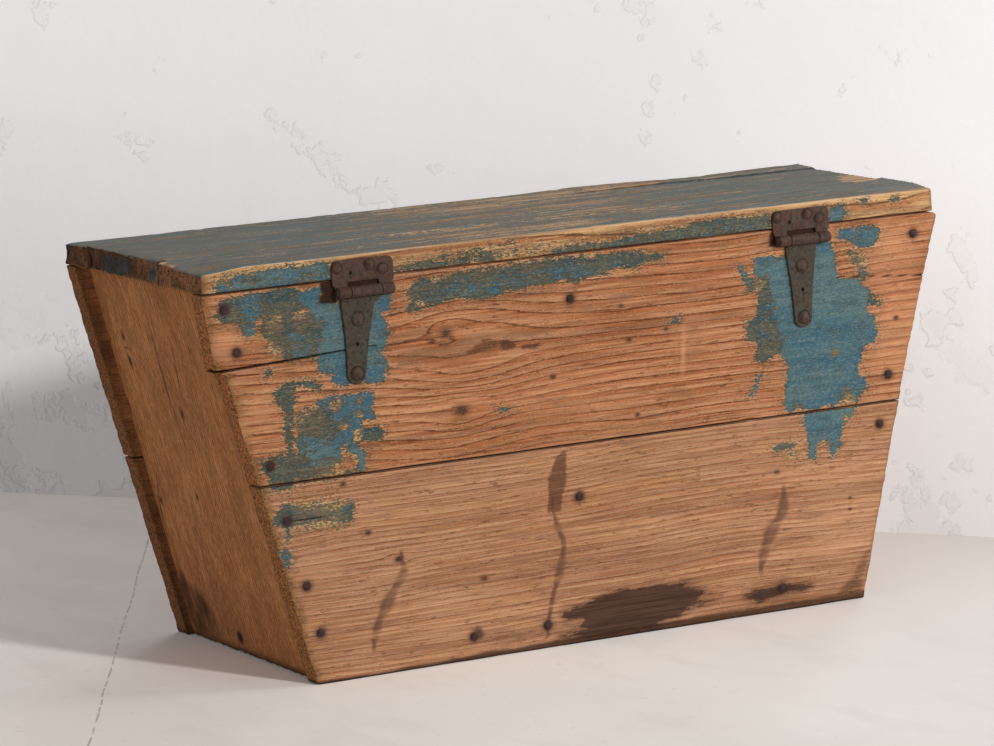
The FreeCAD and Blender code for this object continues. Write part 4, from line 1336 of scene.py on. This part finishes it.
def lid_marks(found, points, normals):
    x, y, z = points.T
    nx, ny, nz = normals.T
    flat, top = points[:, [0, 2]], points[:, [0, 1]]
    front = (ny < -0.5) & (y < HINGE_FACE + 5 * MM)
    upward = nz > 0.3
    left = (nx < -0.6) & (x < 0)
    edge = dict(paint=found["paint"].copy(), thin=found["thin"].copy(), worn=found["worn"] + 0.12)
    lay_paint(edge, flat, EDGE_PAINT, on_hinge_face)
    lay_spots(edge, "worn", flat, EDGE_WEAR, on_hinge_face)
    end_paint = deepest(points[:, [1, 2]], LEFT_END_PAINT, on_left_end)
    from_front = (y - HINGE_FACE) / MM
    bare_arris = 10 * smooth(x, -0.30, -0.18) - 3
    top_paint = np.minimum(30, from_front - bare_arris)
    drift = np.column_stack([noise(points, (30, 60, 1), seed, 3) for seed in (203, 204)])
    top_paint = np.minimum(top_paint, -deepest(top + drift * (0.03, 0.009), TOP_BARE, on_lid_top))
    found["paint"] = np.where(front, edge["paint"], np.where(upward, top_paint, -FAR))
    joint = (np.abs(ny) > 0.6) & ~front & (y < OPENING_FACE - 5 * MM)
    open_joint = joint & (y > LID_JOINTS[1] - 3 * MM)
    found["paint"] = np.where(left, end_paint, np.where(joint & ~open_joint, 30.0, found["paint"]))
    over_step = y - step_line(x)
    step_shade = (1 - smooth(np.abs(over_step), 1.0 * MM, 3.2 * MM)) * smooth(x, 0.12, 0.17)
    middle = np.exp(-(x / 0.24) ** 2)
    streaks = noise(points, (3.5, 30, 1), 77, 3)
    strip = 0.25 * smooth(over_step, 0, 4 * MM) * smooth(x, 0.1, 0.2)
    top_worn = np.clip(0.02 + (0.42 + 0.3 * streaks) * middle + 0.08 * streaks + strip, 0, 0.8)
    found["worn"] = np.where(upward, top_worn, edge["worn"])
    found["thin"] = np.where(left, 0.3, np.where(front, edge["thin"], 0.5))
    left_dirt = 0.75 * smooth(y, HINGE_FACE + 0.05, HINGE_FACE + 0.20)
    left_dirt = np.maximum(left_dirt, 0.75 * smooth(end_paint, -3, 3))
    found["dirt"] = np.where(left, left_dirt, np.where(open_joint, 0.9, 0.0))
    found["weathered"] = np.maximum(smooth(nz, 0.3, 0.6), joint)
    # painted shade behind the leaves' spare holes, laid as iron stain
    lay_spots(found, "iron", flat, LID_HOLE_SHADE, on_hinge_face)
    found["scratch"] = np.where(front, 0.5, 0.0)
    dark_joint_and_foot_shadow(found, z, (BOX_TOP,), front)
    dark_joint_and_foot_shadow(found, y, LID_JOINTS[1:], 0.8 * upward, 0.9 * MM)
    # painted shade along the step in the lid's top
    at_least(found, "split", 0.7 * upward * step_shade)
    end_gap = joint & (x < -LID_HALF + 12 * MM)
    at_least(found, "dirt", 0.8 * end_gap)
    ragged = smooth(noise(points, (50, 55, 55), 207, 3), -0.2, 0.6)
    end = 1 - smooth(x + LID_HALF, 1 * MM, 8 * MM)
    return END_CHEWED * ragged * end * (z > BOX_TOP)


# %% The three boards of the lid
for node, step_y, pitch, seed, right_front, right_back, tight in (
        ("lid_hinge_side_board", 1.8, 7.5, 41, 440, 440, (1.0, 0.1)),
        ("lid_middle_board", 2.2, 10.0, 46, 440, 446, (0.1, 0.4)),
        ("lid_opening_side_strip", 1.8, 6.0, 51, 446, 447, (0.4, 1.0))):
    lo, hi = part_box(node)
    corners = np.array([[[(x, y, z) for z in (lo.z, hi.z)] for x, y in row] for row in (
        ((-LID_HALF, lo.y), (-LID_HALF, hi.y)), ((right_front * MM, lo.y), (right_back * MM, hi.y)))])
    board(node, "lid", LID_PINE, corners,
          (4.6, step_y, 4.0), pitch=pitch, lean=0.5, wander=0.012, seed=seed,
          arris=(1.4, 3.8), ridge=0.45, marks=lid_marks, shift=lid_shift, tight=tight)

# %% [markdown]
# ## Inside the chest
#
# The bottom boards, the cleats that hold the long sides together and the battens under the lid
# were never painted. They are paler and duller than the outside.

# %% Bottom boards, cleats and battens
for node, seed in (("bottom_board_hinge_side", 61), ("bottom_board_opening_side", 65)):
    lo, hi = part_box(node)
    corners = np.array([[[(s * (end_x(z) - END_LEVEL_T), y, z) for z in (lo.z, hi.z)]
                         for y in (lo.y, hi.y)] for s in (-1, 1)])
    board(node, "box", INNER_PINE, corners,
          (6, 3, 4), pitch=8, seed=seed, arris=(0.5, 1.2), ridge=0.25)

UPRIGHT, ALONG_Y = (2, 0, 1), (1, 0, 2)     # which way the grain runs
for node, body, order in (("hinge_side_cleat", "box", UPRIGHT), ("opening_side_cleat", "box", UPRIGHT),
                          ("lid_left_batten", "lid", ALONG_Y), ("lid_right_batten", "lid", ALONG_Y)):
    lo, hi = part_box(node)
    corners = box_corners(lo, hi).transpose(*order, 3)
    board(node, body, INNER_PINE, corners,
          (4.5, 2.4, 3.5), pitch=6, seed=70 + len(node), arris=(0.6, 1.6),
          ridge=0.22)

# %% [markdown]
# ## Iron
#
# The hinges, nails and screws are wrought iron under old dark paint and rust. The rust is a
# mesh matter as much as a colour: plates are pitted and their edges are soft. Each iron piece is
# put together from simple solids and pitted with the same noise as the boards. The plates, which
# have holes, are fused by a voxel remesh before that, which also takes their sharp edges off.

# %% Iron finish
BARREL_LOW, BARREL_EDGE = 392 * MM, 6 * MM      # above it a strap's iron takes the barrel's colour


def iron(name, base, rust, dark, barrel=None):
    f = Finish(name)
    place = f.attribute("grain", "Vector")
    cloud, scale = f.noise(place, 70, 4.0, 0.6), f.noise(place, 240, 5.0, 0.65)
    grit = f.noise(place, 800, 3.0, 0.6)
    tone = f.blend(cloud.ramp(0.42, 0.58), base, rust)
    if barrel:
        tone = f.blend(place.parts()[2].ramp(BARREL_LOW, BARREL_LOW + BARREL_EDGE), tone, barrel)
    tone = f.layers(tone, (scale.ramp(0.5, 0.62) * 0.7, dark),
                    (scale.ramp(0.44, 0.34) * 0.4, base, 1.25),
                    (grit.ramp(0.58, 0.7) * 0.4, rust, 1.4),
                    # darker in the rust pits, and in the painted shade ring round the heads
                    (f.attribute("depth").ramp(0.1, 0.5) * 0.7, dark, 0.7))
    return f.wear(tone, scale * 0.35 + 0.5, f.bump(scale * 0.9 + grit * 0.4, 0.5 * MM, 0.8), 0.2)


STRAP_IRON = iron("strap_iron", (68, 66, 56), (72, 60, 48), (40, 38, 31), barrel=(78, 60, 51))
LEAF_IRON = iron("leaf_iron", (78, 63, 55), (82, 56, 44), (48, 38, 33))
NAIL_IRON = iron("nail_iron", (58, 41, 41), (70, 44, 41), (34, 25, 25))
PIN_IRON = iron("pin_iron", (72, 58, 51), (80, 55, 45), (44, 35, 31))
print("four kinds of iron")

# %% Lathe and prism solids
ASKANCE = (0.31, 0.87, 0.38)        # lies along no piece, so it gives each a direction across


def axes_of(out):
    """Two directions across a line, then the line's own."""
    out = np.asarray(out, float) / np.linalg.norm(out)
    across = np.cross(out, ASKANCE)
    across /= np.linalg.norm(across)
    return np.array([across, np.cross(out, across), out])


def lathe(profile, base, out, sides=28):
    """Points and quads of a (radius, height) profile turned about a line."""
    across, beside, out = axes_of(out)
    angles = np.arange(sides) * 2 * math.pi / sides
    ring = np.outer(np.cos(angles), across) + np.outer(np.sin(angles), beside)
    points = np.concatenate([np.asarray(base) + h * out + r * ring for r, h in profile])
    a = np.arange(sides * (len(profile) - 1))
    b = a - a % sides + (a + 1) % sides
    return points, np.column_stack([a, b, b + sides, a + sides])


def rod(radius, length, base, out, sides=36, tip=0.05 * MM):
    """A closed round bar."""
    return lathe([(tip, 0), (radius, 0), (radius, length), (tip, length)], base, out, sides)


def prism(outline, y0, y1):
    """A flat outline of (x, z) points given a thickness along Y."""
    n = len(outline)
    points = np.array([(x, y, z) for y in (y0, y1) for x, z in outline])
    faces = [tuple(range(n)), tuple(range(2 * n - 1, n - 1, -1))]
    faces += [(i, i + n, (i + 1) % n + n, (i + 1) % n) for i in range(n)]
    return points, faces


def pieces_joined(name, parts):
    """One object from several (points, faces)."""
    points, faces = [], []
    for some_points, some_faces in parts:
        start = len(points)
        points += [tuple(p) for p in some_points]
        faces += [tuple(int(i) + start for i in face) for face in some_faces]
    mesh = bpy.data.meshes.new(name)
    mesh.from_pydata(points, [], faces)
    made = bpy.data.objects.new(name, mesh)
    bpy.context.scene.collection.objects.link(made)
    return made


# %% Fused and pitted
VOXEL = 0.55 * MM
PLATE_PIT, HEAD_PIT, NAIL_PIT, PIN_PIT = 0.35, 0.2, 0.12, 0.08      # depth of the rust, in mm
HEAD_SHADE_REACH = 1.6 * MM


def rust_pits(made, pit, seed, heads=()):
    """Sinks a mesh's surface by up to pit mm of rust; a painted shade darkens a ring round the bolt
    heads on it.
    """
    mesh = made.data
    points = np.zeros(len(mesh.vertices) * 3, np.float32)
    mesh.vertices.foreach_get("co", points)
    points = points.reshape(-1, 3).astype(float)
    pits_and_head_shade = smooth(noise(points, (150, 150, 150), seed, 3), -0.3, 0.9) * pit
    pits_and_head_shade += 0.6 * pit * smooth(noise(points, (420, 420, 420), seed + 1, 2), 0.2, 0.8)
    points -= vertex_normals(mesh) * (pits_and_head_shade * MM)[:, None]
    mesh.vertices.foreach_set("co", points.astype(np.float32).ravel())
    mesh.polygons.foreach_set("use_smooth", np.ones(len(mesh.polygons), bool))
    mesh.update()
    # painted shade: a dark ring on the plate round each head, kept with the rust pits in depth
    for x, z, radius in heads:
        off = np.hypot(points[:, 0] - x, points[:, 2] - z) - radius
        pits_and_head_shade += 0.5 * np.exp(-(off / HEAD_SHADE_REACH) ** 2)
    keep_attribute(mesh, "grain", points)
    keep_attribute(mesh, "depth", pits_and_head_shade)


def rusty(node, body, finish, parts, pit, seed, cut=None, heads=()):
    """Solids as one rusty piece; a piece with a cut is fused and softened by a voxel remesh."""
    made = pieces_joined("rusty_" + node, parts)
    if cut:
        tool = pieces_joined("cut", [cut])
        remesh = ("REMESH", dict(mode="VOXEL", voxel_size=VOXEL))
        drill = ("BOOLEAN", dict(operation="DIFFERENCE", object=tool, solver="EXACT"))
        soften = ("SMOOTH", dict(factor=0.5, iterations=3))
        for kind, settings in (remesh, drill, remesh, soften):
            step = made.modifiers.new(kind, kind)
            for key, value in settings.items():
                setattr(step, key, value)
        fused = made.evaluated_get(bpy.context.evaluated_depsgraph_get())
        mesh = bpy.data.meshes.new_from_object(fused)
        made.modifiers.clear()
        made.data = mesh
        bpy.data.objects.remove(tool)
    rust_pits(made, pit, seed, heads)
    fitted(made, node, body, finish)


# %% [markdown]
# ## Nails, screws and bolts
#
# The nails have round heads, driven in up to their rims and never quite smooth. The lid's screws
# have low domes, and the straps' bolts have bigger ones, dented by the hammer.

# %% Nails
NAIL_R, NAIL_RISE, NAIL_SUNK, SHANK_R = 4.5 * MM, 1.0 * MM, 0.9 * MM, 1.8 * MM
NAIL_LENGTH, CLEAT_NAIL_LENGTH, BATTEN_NAIL_LENGTH = 52 * MM, 40 * MM, 38 * MM
POINT_R = 0.02 * MM     # a profile ends this close to its axis


def nail_solid(base, out, length, seed):
    """A forged nail; its head is a little out of round and dented."""
    profile = [(POINT_R, NAIL_RISE)]
    profile += [(NAIL_R * s, NAIL_RISE * (1 - s ** 2.4)) for s in (0.18, 0.36, 0.54, 0.7, 0.84, 0.94)]
    profile += [(NAIL_R, -0.1 * MM), (NAIL_R * 0.98, -NAIL_SUNK), (SHANK_R, -NAIL_SUNK),
                (SHANK_R, -length + 7 * MM), (0.3 * MM, -length), (POINT_R, -length)]
    points, quads = lathe(profile, (0, 0, 0), (0, 0, 1))
    head = points[:, 2] > -NAIL_SUNK * 1.01
    lumps = noise(points + seed, (260, 260, 260), seed, 2)
    points[head, :2] *= (1 + 0.05 * lumps[head])[:, None]
    points[head, 2] -= 0.35 * MM * smooth(lumps[head], -0.2, 0.8)
    return np.asarray(base) + points @ axes_of(out), quads


def nails(node, body, rows):
    solids = [nail_solid(*row, 5 + i) for i, row in enumerate(rows)]
    rusty(node, body, NAIL_IRON, solids, NAIL_PIT, 91)


def side_rows(places, y, out):
    """Base, direction and length of the nails in a long side."""
    return [((x, y, z), out, CLEAT_NAIL_LENGTH if x == CLEAT_X else NAIL_LENGTH) for x, z in places]


nails("hinge_side_nails", "box", side_rows(HINGE_NAILS, HINGE_FACE, (0, -1, 0)))
nails("opening_side_nails", "box", side_rows(OPENING_NAILS, OPENING_FACE, (0, 1, 0)))
for side, sign in (("left", -1), ("right", 1)):
    nails(side + "_end_nails", "box",
          [((sign * end_x(END_NAIL[1]), END_NAIL[0], END_NAIL[1]), (sign, 0, -END_SLOPE), NAIL_LENGTH)])


# %% Batten nails
BATTEN_NAIL_DX, BATTEN_NAIL_DY = 10 * MM, 22 * MM
batten_rows = []
for batten in ("lid_left_batten", "lid_right_batten"):
    lo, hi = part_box(batten)
    middle_x = (lo.x + hi.x) / 2
    for plank_name, offsets in (("lid_hinge_side_board", (-1, 1)), ("lid_middle_board", (-1, 1)),
                                ("lid_opening_side_strip", (0,))):
        plank_lo, plank_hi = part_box(plank_name)
        middle_y = (max(plank_lo.y, lo.y) + min(plank_hi.y, hi.y)) / 2
        for s in offsets:
            batten_rows.append(((middle_x + s * BATTEN_NAIL_DX, middle_y + s * BATTEN_NAIL_DY, lo.z),
                                (0, 0, -1), BATTEN_NAIL_LENGTH))
nails("lid_batten_nails", "lid", batten_rows)


# %% [markdown]
# ## The tee hinges
#
# Each hinge has a leaf screwed to the lid's edge, a barrel of knuckles on a riveted pin, and a
# tapering strap bolted to the chest. The leaf's lower edge is wrapped round the pin at both
# sides of a slot, and the strap's own knuckle turns in that slot.

# %% Hinge sizes
PIN_Y, PIN_Z = HINGE_FACE - 6.3 * MM, BOX_TOP - 13 * MM
BARREL_R, BARREL_HALF = 6 * MM, 32 * MM
KNUCKLE_HALF, KNUCKLE_GAP = 17.5 * MM, 0.4 * MM
LEAF_T, LEAF_HALF, LEAF_RISE, LEAF_CORNER = 2.6 * MM, 35.5 * MM, 33 * MM, 7 * MM
SLOT_RISE = 9.6 * MM
STRAP_SHAPE = [(19.4, -7.5), (19.0, -14.0), (16.6, -30.0), (14.0, -48.0), (12.2, -66.0), (11.0, -82.0)]
STRAP_TIP_R, STRAP_TIP_Z = 11.0, -85.5
LID_SCREWS = [(-29.5, 25.5), (7.5, 26.0), (22.5, 20.5)]
LID_SPARE_HOLE = (-14.5, 19.0)
STRAP_BOLT_DROP = (-29.0, -85.0)
STRAP_SPARE_DROP = -55.0
SCREW = dict(head_r=5.2 * MM, rise=2.4 * MM, shank_r=2.2 * MM, length=24 * MM, dent=0.9)
BOLT = dict(head_r=6.8 * MM, rise=3.0 * MM, shank_r=2.8 * MM, length=23 * MM, dent=1.8)
HOLE_R = 1.9 * MM
HINGES = [("left_hinge", HINGE_X[0], -6.5 * MM, math.radians(4)),
          ("right_hinge", HINGE_X[1], -1 * MM, 0.0)]


def barrel(x0, x1):
    """A stretch of the barrel, on the hinge's axis."""
    return rod(BARREL_R, x1 - x0, (x0, PIN_Y, PIN_Z), (1, 0, 0))


def plate(outline):
    """A flat plate on the hinge side's face."""
    return prism(outline, HINGE_FACE - LEAF_T, HINGE_FACE)


def drilled(x, z):
    """What a spare screw hole takes away."""
    return rod(HOLE_R, LEAF_T + 3 * MM, (x, HINGE_FACE + 1 * MM, z), (0, -1, 0), 20, 0.01 * MM)


def arc(cx, cz, radius, start, stop, count):
    angles = np.radians(np.linspace(start, stop, count))
    return [(cx + radius * math.cos(a), cz + radius * math.sin(a)) for a in angles]


# %% Leaf
def leaf(name, cx):
    """The lid leaf: a plate with rounded top corners, slotted over the strap's knuckle."""
    w, top = LEAF_HALF - LEAF_CORNER, PIN_Z + LEAF_RISE - LEAF_CORNER
    gap = KNUCKLE_HALF + KNUCKLE_GAP
    outline = [(cx - gap, PIN_Z), (cx - gap, PIN_Z + SLOT_RISE), (cx + gap, PIN_Z + SLOT_RISE),
               (cx + gap, PIN_Z), (cx + BARREL_HALF, PIN_Z), (cx + BARREL_HALF, PIN_Z + 4 * MM),
               (cx + LEAF_HALF, PIN_Z + 9 * MM)]
    outline += arc(cx + w, top, LEAF_CORNER, 0, 90, 7) + arc(cx - w, top, LEAF_CORNER, 90, 180, 7)
    outline += [(cx - LEAF_HALF, PIN_Z + 9 * MM), (cx - BARREL_HALF, PIN_Z + 4 * MM),
                (cx - BARREL_HALF, PIN_Z)]
    knuckles = [barrel(cx - BARREL_HALF, cx - gap), barrel(cx + gap, cx + BARREL_HALF)]
    rusty(name + "_lid_leaf", "lid", LEAF_IRON, [plate(outline), *knuckles],
          PLATE_PIT, 101,
          drilled(cx + LID_SPARE_HOLE[0] * MM, PIN_Z + LID_SPARE_HOLE[1] * MM),
          [(cx + x * MM, PIN_Z + z * MM, SCREW["head_r"]) for x, z in LID_SCREWS])


# %% Strap
def strap(name, cx, offset, lean):
    """The tapering strap with a rounded tip, leaning a little, and its knuckle."""
    half = [(x * MM, z * MM) for x, z in STRAP_SHAPE]
    tip = arc(0, STRAP_TIP_Z * MM, STRAP_TIP_R * MM, 180, 360, 13)
    outline = [(-x, z) for x, z in half] + tip + [(x, z) for x, z in reversed(half)]
    c, s = math.cos(lean), math.sin(lean)
    turned = [(cx + offset + x * c + z * s, PIN_Z - x * s + z * c) for x, z in outline]
    neck = [(cx - KNUCKLE_HALF, PIN_Z - 12 * MM), (cx + KNUCKLE_HALF, PIN_Z - 12 * MM),
            (cx + KNUCKLE_HALF, PIN_Z), (cx - KNUCKLE_HALF, PIN_Z)]
    solids = [plate(turned), plate(neck), barrel(cx - KNUCKLE_HALF, cx + KNUCKLE_HALF)]
    drop = STRAP_SPARE_DROP * MM
    rusty(name + "_strap", "box", STRAP_IRON, solids, PLATE_PIT, 107,
          drilled(cx + offset + drop * s, PIN_Z + drop * c),
          [(cx + offset + d * MM * s, PIN_Z + d * MM * c, BOLT["head_r"]) for d in STRAP_BOLT_DROP])


# %% Pins
def pin(name, cx):
    """The riveted pin: its heads close the barrel's ends."""
    half = BARREL_HALF + 0.1 * MM
    end = [(0.05, 1.6), (3.2, 1.3), (4.6, 0.3), (4.6, 0.0), (3.2, 0.0)]     # in mm, past the barrel
    profile = [(r * MM, -half - h * MM) for r, h in end]
    profile += [(r * MM, half + h * MM) for r, h in reversed(end)]
    rusty(name + "_pin", "lid", PIN_IRON,
          [lathe(profile, (cx, PIN_Y, PIN_Z), (1, 0, 0), 32)], PIN_PIT, 113)


# %% Screws and bolts
def domed(base, head_r, rise, shank_r, length, dent, seed):
    """A domed head on a plate, with its shank; the dome is dented by up to dent mm."""
    seat = LEAF_T
    profile = [(POINT_R, seat + rise)]
    profile += [(head_r * s, seat + 0.3 * MM + (rise - 0.3 * MM) * (1 - s ** 2) ** 0.6)
                for s in (0.12, 0.24, 0.38, 0.52, 0.66, 0.79, 0.9, 0.97)]
    profile += [(head_r, seat + 0.2 * MM), (head_r * 0.98, seat - 0.4 * MM), (shank_r, seat - 0.4 * MM),
                (shank_r, -length + 5 * MM), (0.4 * MM, -length), (POINT_R, -length)]
    points, quads = lathe(profile, (0, 0, 0), (0, -1, 0), 32)
    top = points[:, 1] < -seat + 0.5 * MM
    lumps = noise(points + seed, (210, 210, 210), seed, 2)
    points[top, 1] += dent * MM * smooth(lumps[top], -0.2, 0.7) * (points[top, 1] < -seat - 0.2 * MM)
    for axis in (0, 2):
        points[top, axis] *= 1 + 0.05 * lumps[top]
    return np.asarray(base) + points, quads


for name, cx, offset, lean in HINGES:
    leaf(name, cx)
    strap(name, cx, offset, lean)
    pin(name, cx)
    screws = [domed((cx + x * MM, HINGE_FACE, PIN_Z + z * MM), seed=11 + i, **SCREW)
              for i, (x, z) in enumerate(LID_SCREWS)]
    rusty(name + "_lid_screws", "lid", LEAF_IRON, screws, HEAD_PIT, 117)
    c, s = math.cos(lean), math.sin(lean)
    bolts = [domed((cx + offset + z * MM * s, HINGE_FACE, PIN_Z + z * MM * c), seed=31 + i, **BOLT)
             for i, z in enumerate(STRAP_BOLT_DROP)]
    rusty(name + "_strap_bolts", "box", LEAF_IRON, bolts, HEAD_PIT, 119)
